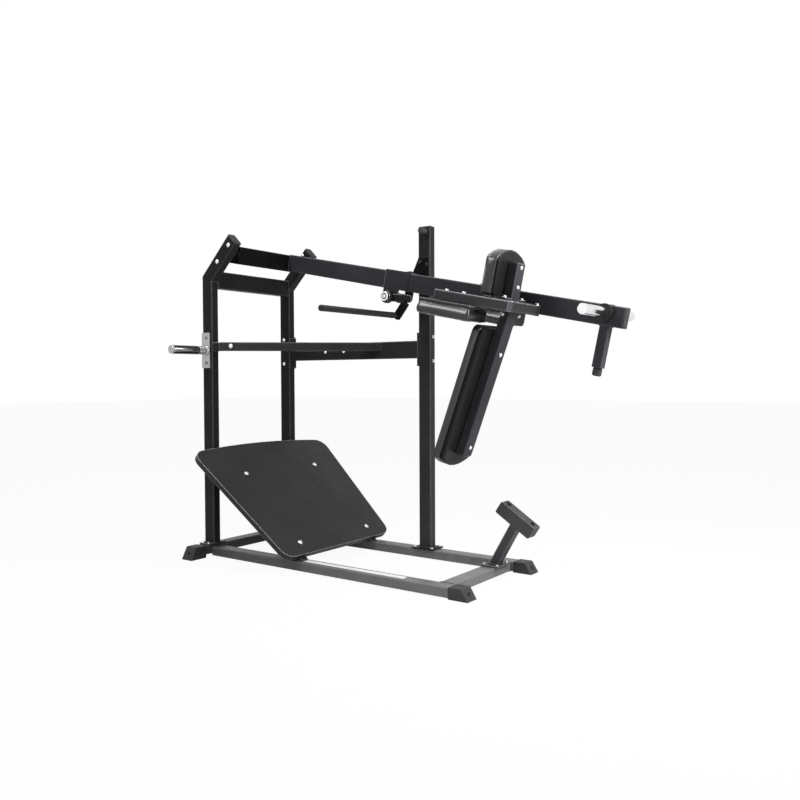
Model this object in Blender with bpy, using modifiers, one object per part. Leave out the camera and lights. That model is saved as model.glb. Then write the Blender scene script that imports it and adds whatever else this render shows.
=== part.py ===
"""A plate-loaded pendulum squat machine: a floor frame with two bent posts, an arm that swings on a
cross tube between them, shoulder, head and back pads on the arm, and a hand lever that frees the
arm from a catch pin on the tower. Units are metres, +X points from the pivot posts to the weight
horns, +Y across the machine and +Z up."""

import math

import bmesh
import bpy
from mathutils import Matrix, Vector

# Clearances
GAP = 0.0003            # between two parts that touch or are welded
BORE_GAP = 0.0003       # between a shaft and its bore, on the radius
SWING_GAP = 0.002       # between an arm stop and what it meets at the end of the swing

# Steel tube and plate stock
TUBE_WIDE = 0.080
TUBE_NARROW = 0.050
TUBE_WALL = 0.003
TUBE_CORNER = 0.006
PLATE = 0.008

# Floor frame
FRAME_SPAN = 0.692      # over the outer faces of the two posts
RAIL_BOTTOM = 0.005
RAIL_HEIGHT = 0.050
RAIL_END = 1.750        # from the back face of the posts to the end of the side rails
FRONT_TUBE_BOTTOM = 0.017
FRONT_TUBE_OVERHANG = 0.120
REAR_TUBE_X = 1.597
SHOE_LENGTH = 0.110
SHOE_SLOPE = 0.037      # how far the sloped end of a shoe leans back
SHOE_SKIN = 0.003
SHOE_GRIP = 0.060       # how far a tube goes into its shoe
SHOE_FLOOR = 0.0045     # sole under the tube

# Pivot posts
BEND_HEIGHT = 1.622     # outer corner of the bend
BEND_ANGLE = math.radians(45)
BENT_LENGTH = 0.311     # outer edge of the leaning part
PIVOT_X = 0.176
PIVOT_Z = 1.742
BASE_PLATE_LENGTH = 0.130
HEAD_BEAM_HEIGHT = 0.100
HEAD_BEAM_BOTTOM = 1.551

# Bearings
SHAFT_RADIUS = 0.015
BEARING_RADIUS = 0.039
BEARING_WIDTH = 0.022
STUB_DISC_RADIUS = 0.046
STUB_DISC = 0.008
PIVOT_TUBE = 0.100
PIVOT_TUBE_WALL = 0.004

# Stop tower
TOWER_X = 1.082
TOWER_TOP = 1.878
TOWER_BASE_LENGTH = 0.140
TOWER_BASE_WIDTH = 0.120
TIE_HEIGHT = 0.100
TIE_Z = 1.190
TIE_FLANGE_HEIGHT = 0.190
TIE_FLANGE_WIDTH = 0.060

# Diagonal brace
BRACE_Z = 1.212
BRACE_WIDTH = 0.040
BRACE_LUG = 0.060
BRACE_END_X = 0.790     # where the brace's middle line meets the tie bar

# Storage horns on the posts
STORAGE_Z = 1.192
STORAGE_PLATE = (0.066, 0.204)
STORAGE_RADIUS = 0.024
STORAGE_LENGTH = 0.250

# Foot plate
FOOT_PLATE_LOW_WIDTH = 0.896
FOOT_PLATE_TOP_WIDTH = 1.092
FOOT_PLATE_THICK = 0.030
FOOT_PLATE_ANGLE = math.radians(40.2)
FOOT_PLATE_LOW = (0.762, 0.0905)     # lower end of its top face
FOOT_PLATE_LENGTH = 0.820            # up its slope, to the corners of the top edge
FOOT_PLATE_ARCH = 0.032
FOOT_PLATE_CORNER = 0.070
FOOT_PLATE_SKIN = 0.004              # the plate is a pressed tray, open underneath
SUPPORT_WIDTH = 0.050
SUPPORT_DEPTH = 0.050

# Swinging arm, in its own frame: s along the arm, o square to it, both from the pivot
ARM_PITCH = math.radians(11.66)
ARM_HEIGHT = 0.100
ARM_WIDTH = 0.060
ARM_RISE = 0.005        # middle of the arm above the pivot
ARM_END = 2.205
ARM_TO_POST = 0.092     # between the arm and the line of the far post and tower
CROSS_TUBE_END = 1.774
CROSS_TUBE_WIDE = 0.114
SHOULDER_TOP = -0.002
SHOULDER_HEIGHT = 0.050
BEAM_WIDTH = 0.050
BEAM_START = 1.362
BEAM_FROM_MIDDLE = 0.134  # inner face of the near beam from the machine's middle

# Pads
SHOULDER_PAD = (0.303, 0.185, 0.066)
SHOULDER_PAD_START = 1.312
PAD_BOARD = 0.012
HEAD_PAD_WIDTH = 0.276
HEAD_PAD_HEIGHT = 0.236
HEAD_PAD_THICK = 0.0755
HEAD_PAD_FRONT = 1.585
HEAD_PAD_BOTTOM = 0.004
HEAD_PAD_SEAM = 0.012   # the seam from the back of the pad
PAD_ARCH = 0.048        # rise of the arched end of the head and back pads
PAD_SHOULDER = 0.032    # corners at the sides of the arch
PAD_TUBE_DEPTH = 0.050
HEAD_TUBE_HEIGHT = 0.182
BACK_PAD_WIDTH = 0.300
BACK_PAD_LENGTH = 0.737
BACK_PAD_THICK = 0.066
BACK_PAD_SEAM = 0.020
BACK_TUBE_LEAN = math.radians(8.7)   # from the square to the arm
BACK_TUBE_LENGTH = 0.757
BACK_TUBE_TOP = (1.7160, -0.0540)    # upper corner of its outer face, in the arm's frame
BACK_PAD_DROP = 0.100                # top of the pad below the top of its tube
LUG = (0.128, 0.066)

# Weight horns and bottom bumper
HORN_S = 2.112
HORN_RISE = 0.017
HORN_RADIUS = 0.025
HORN_LENGTH = 0.275
COLLAR_RADIUS = 0.042
COLLAR_WIDTH = 0.018
BUMPER_S = 2.118
BUMPER_LENGTH = 0.200
BUMPER_FOOT_RADIUS = 0.0225
BUMPER_FOOT_LENGTH = 0.040

# Bottom stop
BOTTOM_PITCH = math.radians(33.37)   # pitch of the arm when its bumper meets the block
STOP_BLOCK = (0.222, 0.069, 0.067)
STOP_BLOCK_OFFSET = 0.006            # middle of the block from the bumper, down the slope
STOP_POST_LEAN = math.radians(29.8)
STOP_POST_OFFSET = 0.008             # foot of the post from the middle of the rear cross tube
STOP_HOLE_RADIUS = 0.009
STOP_HOLE_DEPTH = 0.020
STOP_HOLE_SPACING = 0.160
STOP_FLANGE = (0.105, 0.135)

# Release lever and catch
LEVER_S = 0.853
LEVER_O = -0.090
LEVER_SHAFT_RADIUS = 0.012
LEVER_BOSS_RADIUS = 0.037
LEVER_BOSS_WIDTH = 0.022
LEVER_PLATE_HEIGHT = 0.042
LEVER_PLATE_LENGTH = 0.158
LEVER_PLATE_RISE = math.radians(4.9)  # from the line of the arm
LEVER_PLATE = 0.010
LEVER_TUBE = 0.036
LEVER_TUBE_TOP = (0.130, -0.030)     # from the lever's shaft
HANDLE_AT = (0.0975, -0.0927)        # from the lever's shaft
HANDLE_RADIUS = 0.016
HANDLE_LENGTH = 0.620
BRACKET_START = 0.803
BRACKET_END = 0.963
BRACKET_SHEET = 0.005
BRACKET_DROP = 0.110                 # lower edge of its legs below the arm's axis
NEAR_LEG_END = 0.9086
FAR_WINDOW = (0.857, 0.912, 0.0175)  # start, end and height of the window under the arm
FAR_LEG_STEP = (0.900, 0.088)        # where the far leg's lower edge steps up, and its drop there
TAB_START = 0.950
TAB_LENGTH = 0.050
TAB_TO_TOWER = 0.017
TAB_THICK = 0.012
TAB_TOP = 0.050
CATCH_S = 0.932
CATCH_O = 0.018
CATCH_PIN_RADIUS = 0.0125
CATCH_PIN_TO_ARM = 0.019
CATCH_PLATE = 0.010
HOOK_THICK = 0.012
HOOK_FROM_ARM = 0.024
HOOK_CLEAR_ANGLE = math.radians(12)  # from the pose shown to the hook's hold on the pin
HOOK_CLEARANCE = 0.002
HOOK_WIDTH = 0.020
HOOK_RING_RADIUS = 0.028
BUFFER_X = 1.130
BUFFER_Z = 1.852
BUFFER_RADIUS = 0.0175
BUFFER_LENGTH = 0.050

# Worked out from the sizes above
MIDDLE_Y = FRAME_SPAN / 2
FAR_POST_Y = FRAME_SPAN - TUBE_NARROW
RAIL_TOP = RAIL_BOTTOM + RAIL_HEIGHT
FRONT_TUBE_TOP = FRONT_TUBE_BOTTOM + TUBE_NARROW
NEAR_RAIL_Y = (TUBE_NARROW - TUBE_WIDE) / 2
FAR_RAIL_Y = FAR_POST_Y + NEAR_RAIL_Y
POST_FOOT = FRONT_TUBE_TOP + PLATE + 2 * GAP
TOWER_FOOT = RAIL_TOP + PLATE + 2 * GAP
ARM_Y = FAR_POST_Y - ARM_TO_POST - ARM_WIDTH
ARM_MIDDLE_Y = ARM_Y + ARM_WIDTH / 2
ARM_TOP = ARM_RISE + ARM_HEIGHT / 2
ARM_BOTTOM = ARM_RISE - ARM_HEIGHT / 2
BEAM_Y = MIDDLE_Y - BEAM_FROM_MIDDLE - BEAM_WIDTH
BEAM_MIDDLE_Y = BEAM_Y + BEAM_WIDTH / 2
BEAM_BOTTOM = SHOULDER_TOP - SHOULDER_HEIGHT
SHOE_BACK = SHOE_SKIN
BEARING_IN = TUBE_NARROW + GAP
BEARING_OUT = BEARING_IN + BEARING_WIDTH
STUB_IN = BEARING_OUT + 0.001
PIVOT_TUBE_START = STUB_IN + STUB_DISC + GAP
BUMPER_TIP = BUMPER_LENGTH + BUMPER_FOOT_LENGTH + GAP - ARM_BOTTOM
ARM_X_MAX = PIVOT_X + ARM_END * math.cos(ARM_PITCH) + ARM_TOP * math.sin(ARM_PITCH)
CENTRE_X = (ARM_X_MAX - SHOE_BACK) / 2
CATCH_PIN_LENGTH = ARM_TO_POST - CATCH_PLATE - CATCH_PIN_TO_ARM - 2 * GAP
CATCH_X = PIVOT_X + CATCH_S * math.cos(ARM_PITCH) + CATCH_O * math.sin(ARM_PITCH)
CATCH_Z = PIVOT_Z - CATCH_S * math.sin(ARM_PITCH) + CATCH_O * math.cos(ARM_PITCH)
TAB_REACH = ARM_TO_POST - BRACKET_SHEET / 2 - TAB_TO_TOWER

CURVE_STEPS = 4         # straight pieces in each rounded corner of an outline
TURN_STEPS = 24         # straight pieces round a turned part


def clear_scene():
    """Remove what a new Blender file holds."""
    for old in list(bpy.data.objects):
        bpy.data.objects.remove(old)


def collection(name):
    group = bpy.data.collections.new(name)
    bpy.context.scene.collection.children.link(group)
    return group


clear_scene()
PARTS = collection("pendulum_squat")
CUTTERS = collection("cutters")


def material(name, colour, roughness, metallic=0.0):
    mat = bpy.data.materials.new(name)
    mat.use_nodes = True
    shader = mat.node_tree.nodes["Principled BSDF"]
    shader.inputs["Base Color"].default_value = (*colour, 1)
    shader.inputs["Roughness"].default_value = roughness
    shader.inputs["Metallic"].default_value = metallic
    return mat


POWDER = material("black_powder_coat", (0.022, 0.022, 0.024), 0.45)
CHROME = material("chrome", (0.62, 0.62, 0.63), 0.12, 1.0)
STEEL = material("bare_steel", (0.30, 0.30, 0.31), 0.35, 1.0)
RUBBER = material("black_rubber", (0.015, 0.015, 0.016), 0.75)
VINYL = material("black_vinyl", (0.018, 0.018, 0.020), 0.35)
DECK = material("deck_coat", (0.035, 0.035, 0.037), 0.60)


def empty(name, location, parent=None, turn_y=0.0):
    holder = bpy.data.objects.new(name, None)
    PARTS.objects.link(holder)
    holder.location = location
    holder.rotation_euler = (0, turn_y, 0)
    holder.parent = parent
    return holder


MACHINE = empty("machine", (-CENTRE_X, -MIDDLE_Y, 0))
ARM = empty("arm_pivot", (PIVOT_X, 0, PIVOT_Z), MACHINE, ARM_PITCH)
LEVER = empty("lever_pivot", (LEVER_S, 0, LEVER_O), ARM)


def add(name, data, parent, location, rotation, mat):
    """Make one named object from a mesh or curve and hang it on its parent."""
    obj = bpy.data.objects.new(name, data)
    PARTS.objects.link(obj)
    obj.parent = parent
    obj.location = location
    obj.rotation_euler = rotation
    data.materials.append(mat)
    return obj


def mesh_from(bm, name, smooth_angle=40):
    bmesh.ops.recalc_face_normals(bm, faces=bm.faces)
    mesh = bpy.data.meshes.new(name)
    bm.to_mesh(mesh)
    bm.free()
    mesh.shade_smooth()
    mesh.set_sharp_from_angle(angle=math.radians(smooth_angle))
    return mesh


def box_mesh(size, corner=0.0, along=None, segments=3):
    """A box about its own middle, with the edges along one axis (or all) rounded."""
    bm = bmesh.new()
    bmesh.ops.create_cube(bm, size=1)
    bmesh.ops.scale(bm, vec=size, verts=bm.verts)
    if corner:
        edges = bm.edges[:]
        if along is not None:
            edges = [e for e in edges if abs((e.verts[0].co - e.verts[1].co)[along]) > size[along] / 2]
        bmesh.ops.bevel(bm, geom=edges, offset=corner, segments=segments, profile=0.5, affect="EDGES")
    return bm


def solidify(obj, wall):
    shell = obj.modifiers.new("wall", "SOLIDIFY")
    shell.thickness = wall
    shell.offset = -1
    shell.use_even_offset = True


def open_end(bm, along, side):
    """Take away the face that closes one end of a box."""
    ends = [f for f in bm.faces if abs(f.normal[along] * side - 1) < 0.3 and len(f.verts) > 4]
    bmesh.ops.delete(bm, geom=ends, context="FACES_ONLY")


def tube(name, low, high, along, parent=MACHINE, closed=(), wall=TUBE_WALL, mat=POWDER):
    """A straight rectangular tube between two corners, open at the ends not named in closed."""
    low = Vector(low)
    high = Vector(high)
    bm = box_mesh(high - low, TUBE_CORNER, along)
    bm.normal_update()
    for side in (-1, 1):
        if side not in closed:
            open_end(bm, along, side)
    obj = add(name, mesh_from(bm, name), parent, (low + high) / 2, (0, 0, 0), mat)
    solidify(obj, wall)
    return obj


def mitred_tube(name, size, along, cuts, parent, location, rotation, closed=()):
    """A tube about its own middle whose open ends are cut on a slope. Each cut gives how far a point of
    that end moves along the tube."""
    bm = bmesh.new()
    for inset in (0.0, TUBE_WALL):
        shell_size = [length if axis == along else length - 2 * inset for axis, length in enumerate(size)]
        shell = box_mesh(shell_size, TUBE_CORNER - inset, along)
        shell.normal_update()
        for side in (-1, 1):
            if side not in closed:
                open_end(shell, along, side)
        for vert in shell.verts:
            side = 1 if vert.co[along] > 0 else -1
            if side in closed:
                vert.co[along] -= side * inset
            elif side in cuts:
                vert.co[along] += cuts[side](vert.co)
        skin = bpy.data.meshes.new(name + "_skin")
        shell.to_mesh(skin)
        shell.free()
        bm.from_mesh(skin)
        bpy.data.meshes.remove(skin)
    # The two skins have the same vertices in the same order, so each open rim is closed pair by pair
    bm.verts.index_update()
    bm.verts.ensure_lookup_table()
    count = len(bm.verts) // 2
    rims = [(e.verts[0].index, e.verts[1].index) for e in bm.edges if e.is_boundary]
    for first, second in rims:
        if first < count:
            ring = [bm.verts[i] for i in (first, second, second + count, first + count)]
            bm.faces.new(ring)
    return add(name, mesh_from(bm, name), parent, location, rotation, POWDER)


def block(name, low, high, parent=MACHINE, corner=0.001, mat=POWDER, along=None, segments=1):
    """A solid box between two corners."""
    low = Vector(low)
    high = Vector(high)
    bm = box_mesh(high - low, corner, along, segments)
    return add(name, mesh_from(bm, name), parent, (low + high) / 2, (0, 0, 0), mat)


def rounded(points, radii, steps=CURVE_STEPS):
    """The corner points of an outline with each corner turned into an arc of its radius."""
    result = []
    count = len(points)
    for index, (point, radius) in enumerate(zip(points, radii)):
        corner = Vector(point)
        if not radius:
            result.append(corner)
            continue
        before = (Vector(points[index - 1]) - corner).normalized()
        after = (Vector(points[(index + 1) % count]) - corner).normalized()
        half = before.angle(after) / 2
        middle = corner + (before + after).normalized() * radius / math.sin(half)
        start = corner + before * radius / math.tan(half) - middle
        turn = start.angle_signed(corner + after * radius / math.tan(half) - middle)
        for step in range(steps + 1):
            angle = -turn * step / steps
            result.append(middle + Matrix.Rotation(angle, 2) @ start)
    return result


def sheet(name, points, thick, parent, location, rotation=(0, 0, 0), mat=POWDER):
    """A flat plate cut to an outline, with its thickness half to each side."""
    data = bpy.data.curves.new(name, "CURVE")
    data.dimensions = "2D"
    data.fill_mode = "BOTH"
    data.extrude = thick / 2
    spline = data.splines.new("POLY")
    spline.points.add(len(points) - 1)
    for slot, point in zip(spline.points, points):
        slot.co = (point[0], point[1], 0, 1)
    spline.use_cyclic_u = True
    return add(name, data, parent, location, rotation, mat)


def as_mesh(obj):
    """Replace a curve object by the welded mesh of its shape."""
    bpy.context.view_layer.update()
    seen = obj.evaluated_get(bpy.context.evaluated_depsgraph_get())
    mesh = bpy.data.meshes.new_from_object(seen)
    bm = bmesh.new()
    bm.from_mesh(mesh)
    bmesh.ops.remove_doubles(bm, verts=bm.verts, dist=1e-6)
    bmesh.ops.recalc_face_normals(bm, faces=bm.faces)
    bm.to_mesh(mesh)
    bm.free()
    solid = bpy.data.objects.new(obj.name + "_mesh", mesh)
    PARTS.objects.link(solid)
    solid.parent = obj.parent
    solid.location = obj.location
    solid.rotation_euler = obj.rotation_euler
    name = obj.name
    bpy.data.objects.remove(obj)
    solid.name = name
    return solid


ALONG_Y = (-math.pi / 2, 0, 0)      # turns a part's own Z to the machine's Y
SIDE_VIEW = (math.pi / 2, 0, 0)     # stands an outline drawn in XY up into XZ


def turned(name, profile, location, parent=MACHINE, rotation=ALONG_Y, mat=POWDER, ring=False,
           steps=TURN_STEPS):
    """A turned part from its half profile of (radius, height), outer side top to bottom."""
    mesh = bpy.data.meshes.new(name)
    count = len(profile)
    edges = [(i, i + 1) for i in range(count - 1)]
    if ring:
        edges.append((count - 1, 0))
    mesh.from_pydata([(radius, 0, height) for radius, height in profile], edges, [])
    obj = add(name, mesh, parent, location, rotation, mat)
    screw = obj.modifiers.new("turn", "SCREW")
    screw.steps = steps
    screw.render_steps = steps
    screw.use_merge_vertices = True
    screw.merge_threshold = 0.00001
    screw.use_smooth_shade = True
    return obj


def cutter(name, bm, parent, location, rotation=(0, 0, 0)):
    mesh = mesh_from(bm, name)
    obj = bpy.data.objects.new(name, mesh)
    CUTTERS.objects.link(obj)
    obj.parent = parent
    obj.location = location
    obj.rotation_euler = rotation
    obj.hide_render = True
    obj.display_type = "WIRE"
    return obj


def cylinder_mesh(radius, length, segments=TURN_STEPS):
    bm = bmesh.new()
    bmesh.ops.create_cone(bm, cap_ends=True, segments=segments, radius1=radius, radius2=radius, depth=length)
    return bm


def make_cutter(obj):
    """Turn a modelled piece into a cutter."""
    PARTS.objects.unlink(obj)
    CUTTERS.objects.link(obj)
    obj.hide_render = True
    obj.display_type = "WIRE"


def combine(obj, tool, operation):
    boolean = obj.modifiers.new(operation.lower(), "BOOLEAN")
    boolean.operation = operation
    boolean.solver = "EXACT"
    boolean.object = tool


def peg_profile(radius, length, chamfer):
    """Half profile of a plain round bar with chamfered ends."""
    return [(0, length), (radius - chamfer, length), (radius, length - chamfer),
            (radius, chamfer), (radius - chamfer, 0), (0, 0)]


# Floor frame
def shoe(name, end, turn, tube_bottom, tube_size):
    """A moulded shoe over the end of a floor tube, whose own +X points out of the tube."""
    width = tube_size[0] + 2 * SHOE_SKIN
    height = tube_bottom + tube_size[1] + SHOE_SKIN
    bm = box_mesh((SHOE_LENGTH, width, height))
    for vert in bm.verts:
        if vert.co.x > 0 and vert.co.z > 0:
            vert.co.x -= SHOE_SLOPE
    bmesh.ops.bevel(bm, geom=bm.edges[:], offset=0.004, segments=2, profile=0.5, affect="EDGES")
    offset = Vector((SHOE_LENGTH / 2 - SHOE_GRIP, 0, height / 2))
    middle = Vector(end) + Matrix.Rotation(turn, 3, "Z") @ offset
    obj = add(name, mesh_from(bm, name), MACHINE, middle, (0, 0, turn), RUBBER)
    depth = SHOE_GRIP + 0.001
    pocket = box_mesh((depth + 0.02, tube_size[0] + 2 * GAP, tube_size[1] + 2 * GAP))
    inside = Vector(((depth - 0.02) / 2 - SHOE_GRIP, 0, tube_bottom + tube_size[1] / 2))
    place = Vector(end) + Matrix.Rotation(turn, 3, "Z") @ inside
    combine(obj, cutter(name + "_pocket", pocket, MACHINE, place, (0, 0, turn)), "DIFFERENCE")


def floor_frame():
    tube("front_cross_tube", (0, -FRONT_TUBE_OVERHANG, FRONT_TUBE_BOTTOM),
         (TUBE_WIDE, FRAME_SPAN + FRONT_TUBE_OVERHANG, FRONT_TUBE_TOP), 1)
    front_size = (TUBE_WIDE, TUBE_NARROW)
    rail_size = (TUBE_WIDE, RAIL_HEIGHT)
    shoe("foot_front_near", (TUBE_WIDE / 2, -FRONT_TUBE_OVERHANG, 0), -math.pi / 2,
         FRONT_TUBE_BOTTOM, front_size)
    shoe("foot_front_far", (TUBE_WIDE / 2, FRAME_SPAN + FRONT_TUBE_OVERHANG, 0), math.pi / 2,
         FRONT_TUBE_BOTTOM, front_size)
    for side, start_y in (("near", NEAR_RAIL_Y), ("far", FAR_RAIL_Y)):
        tube(side + "_side_rail", (TUBE_WIDE + GAP, start_y, RAIL_BOTTOM),
             (RAIL_END, start_y + TUBE_WIDE, RAIL_TOP), 0)
        shoe("foot_rear_" + side, (RAIL_END, start_y + TUBE_WIDE / 2, 0), 0, RAIL_BOTTOM, rail_size)
    tube("rear_cross_tube", (REAR_TUBE_X, NEAR_RAIL_Y + TUBE_WIDE + GAP, RAIL_BOTTOM),
         (REAR_TUBE_X + TUBE_WIDE, FAR_RAIL_Y - GAP, RAIL_TOP), 1)


# Pivot posts with their base plates, head beam and bearings
def bent_post(name, near_y):
    """A post whose top leans towards +X, made from one tube mitred at the bend."""
    length = BEND_HEIGHT - POST_FOOT
    bm = box_mesh((TUBE_WIDE, TUBE_NARROW, length), TUBE_CORNER, 2)
    bmesh.ops.translate(bm, vec=(TUBE_WIDE / 2, TUBE_NARROW / 2, length / 2), verts=bm.verts)
    bm.normal_update()
    open_end(bm, 2, -1)
    top = [f for f in bm.faces if f.normal.z > 0.9][0]
    slope = math.tan(BEND_ANGLE / 2)
    for vert in top.verts:
        vert.co.z = length - vert.co.x * slope
    lean = Vector((math.sin(BEND_ANGLE), 0, math.cos(BEND_ANGLE)))
    grown = bmesh.ops.extrude_discrete_faces(bm, faces=[top])["faces"][0]
    corner = Vector((0, 0, length))
    for vert in grown.verts:
        vert.co += lean * (BENT_LENGTH - (vert.co - corner).dot(lean))
    bmesh.ops.remove_doubles(bm, verts=bm.verts, dist=1e-6)
    obj = add(name, mesh_from(bm, name, 30), MACHINE, (0, near_y, POST_FOOT), (0, 0, 0), POWDER)
    solidify(obj, TUBE_WALL)


def pivot_posts():
    for side, near_y in (("near", 0.0), ("far", FAR_POST_Y)):
        bent_post("pivot_post_" + side, near_y)
        middle = near_y + TUBE_NARROW / 2
        block("post_base_" + side, (0, middle - BASE_PLATE_LENGTH / 2, FRONT_TUBE_TOP + GAP),
              (TUBE_WIDE, middle + BASE_PLATE_LENGTH / 2, FRONT_TUBE_TOP + GAP + PLATE))
    tube("head_beam", (TUBE_WIDE - TUBE_NARROW, TUBE_NARROW + GAP, HEAD_BEAM_BOTTOM),
         (TUBE_WIDE, FAR_POST_Y - GAP, HEAD_BEAM_BOTTOM + HEAD_BEAM_HEIGHT), 1)
    bore = SHAFT_RADIUS + BORE_GAP
    step = BEARING_RADIUS * 0.8
    profile = [(step, BEARING_WIDTH), (step, BEARING_WIDTH / 2), (BEARING_RADIUS, BEARING_WIDTH / 2),
               (BEARING_RADIUS, 0), (bore, 0), (bore, BEARING_WIDTH)]
    turned("bearing_near", profile, (PIVOT_X, BEARING_IN, PIVOT_Z), ring=True, mat=STEEL)
    turned("bearing_far", profile, (PIVOT_X, FRAME_SPAN - BEARING_IN, PIVOT_Z), ring=True,
           rotation=(math.pi / 2, 0, 0), mat=STEEL)


# Stop tower with its tie bar, brace, buffer and catch
def stop_tower():
    tube("stop_tower", (TOWER_X, FAR_POST_Y, TOWER_FOOT),
         (TOWER_X + TUBE_WIDE, FAR_POST_Y + TUBE_NARROW, TOWER_TOP), 2, closed=(1,))
    middle = (TOWER_X + TUBE_WIDE / 2, FAR_POST_Y + TUBE_NARROW / 2)
    block("tower_base",
          (middle[0] - TOWER_BASE_LENGTH / 2, middle[1] - TOWER_BASE_WIDTH / 2, RAIL_TOP + GAP),
          (middle[0] + TOWER_BASE_LENGTH / 2, middle[1] + TOWER_BASE_WIDTH / 2, RAIL_TOP + GAP + PLATE))
    flange_x = TOWER_X - GAP - PLATE
    tube("tie_bar", (TUBE_WIDE + PLATE + 2 * GAP, FAR_POST_Y, TIE_Z - TIE_HEIGHT / 2),
         (flange_x - GAP, FAR_POST_Y + TUBE_NARROW, TIE_Z + TIE_HEIGHT / 2), 0)
    wide = TIE_FLANGE_WIDTH / 2
    tall = TIE_FLANGE_HEIGHT / 2
    for end, face_x in (("post", TUBE_WIDE + GAP), ("tower", flange_x)):
        block("tie_flange_" + end, (face_x, middle[1] - wide, TIE_Z - tall),
              (face_x + PLATE, middle[1] + wide, TIE_Z + tall))
    turned("top_buffer", peg_profile(BUFFER_RADIUS, BUFFER_LENGTH, 0.003),
           (BUFFER_X, FAR_POST_Y - GAP, BUFFER_Z), rotation=(math.pi / 2, 0, 0), mat=RUBBER)
    turned("catch_pin", peg_profile(CATCH_PIN_RADIUS, CATCH_PIN_LENGTH, 0.002),
           (CATCH_X, FAR_POST_Y - CATCH_PLATE - 2 * GAP, CATCH_Z), rotation=(math.pi / 2, 0, 0), mat=STEEL)
    outline = rounded([(-0.043, -0.035), (0.065, -0.035), (0.065, 0.137), (-0.001, 0.137), (-0.043, 0.052)],
                      [0.010, 0.006, 0.006, 0.006, 0.012])
    sheet("catch_plate", outline, CATCH_PLATE, MACHINE,
          (CATCH_X, FAR_POST_Y - CATCH_PLATE / 2 - GAP, CATCH_Z), SIDE_VIEW)


def diagonal_brace():
    """A level brace from a lug on the near post to the tie bar, cut to lie against both."""
    lug_end = TUBE_WIDE + GAP + BRACE_LUG
    half = TUBE_NARROW / 2
    block("brace_lug", (TUBE_WIDE + GAP, TUBE_NARROW / 2 - BRACE_WIDTH / 2, BRACE_Z - half),
          (lug_end, TUBE_NARROW / 2 + BRACE_WIDTH / 2, BRACE_Z + half), corner=0.003)
    start = Vector((lug_end + GAP, TUBE_NARROW / 2, BRACE_Z))
    end = Vector((BRACE_END_X, FAR_POST_Y - GAP, BRACE_Z))
    run = end - start
    angle = math.atan2(run.y, run.x)
    slope = math.tan(angle)
    cuts = {-1: lambda point: point.y * slope, 1: lambda point: -point.y / slope}
    mitred_tube("diagonal_brace", (run.length, BRACE_WIDTH, TUBE_NARROW), 0, cuts, MACHINE,
                (start + end) / 2, (0, 0, angle))


def storage_horns():
    """A horn with its back plate, on the outer face of each post."""
    width, height = STORAGE_PLATE
    for side, face, way in (("near", 0.0, -1), ("far", FRAME_SPAN, 1)):
        start_x = 0.0 if way < 0 else TUBE_WIDE - width
        inner = face + way * GAP
        outer = inner + way * PLATE
        plate = block("storage_horn_" + side, (start_x, min(inner, outer), STORAGE_Z - height / 2),
                      (start_x + width, max(inner, outer), STORAGE_Z + height / 2), mat=CHROME)
        bar = cylinder_mesh(STORAGE_RADIUS, STORAGE_LENGTH + PLATE / 2, 32)
        rims = [e for e in bar.edges if abs((e.verts[0].co - e.verts[1].co).z) < 1e-6 and e.verts[0].co.z > 0]
        bmesh.ops.bevel(bar, geom=rims, offset=0.003, segments=1, affect="EDGES")
        middle_y = outer + way * (STORAGE_LENGTH - PLATE / 2) / 2
        combine(plate, cutter("storage_bar_" + side, bar, MACHINE, (start_x + width / 2, middle_y, STORAGE_Z),
                              (-way * math.pi / 2, 0, 0)), "UNION")


# Foot plate on its two supports
def plate_outline(inset):
    """The plate's outline up its slope, drawn in all round by an inset."""
    low = FOOT_PLATE_LOW_WIDTH / 2 - inset
    top = FOOT_PLATE_TOP_WIDTH / 2 - inset
    length = FOOT_PLATE_LENGTH - inset
    points = [(inset, -low), (length, -top)]
    for step in range(1, 8):
        y = top * (step / 4 - 1)
        points.append((length + FOOT_PLATE_ARCH * (1 - (y / top) ** 2), y))
    points += [(length, top), (inset, low)]
    corner = FOOT_PLATE_CORNER - inset
    return rounded(points, [corner] * 2 + [0] * 7 + [corner] * 2, 6)


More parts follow.
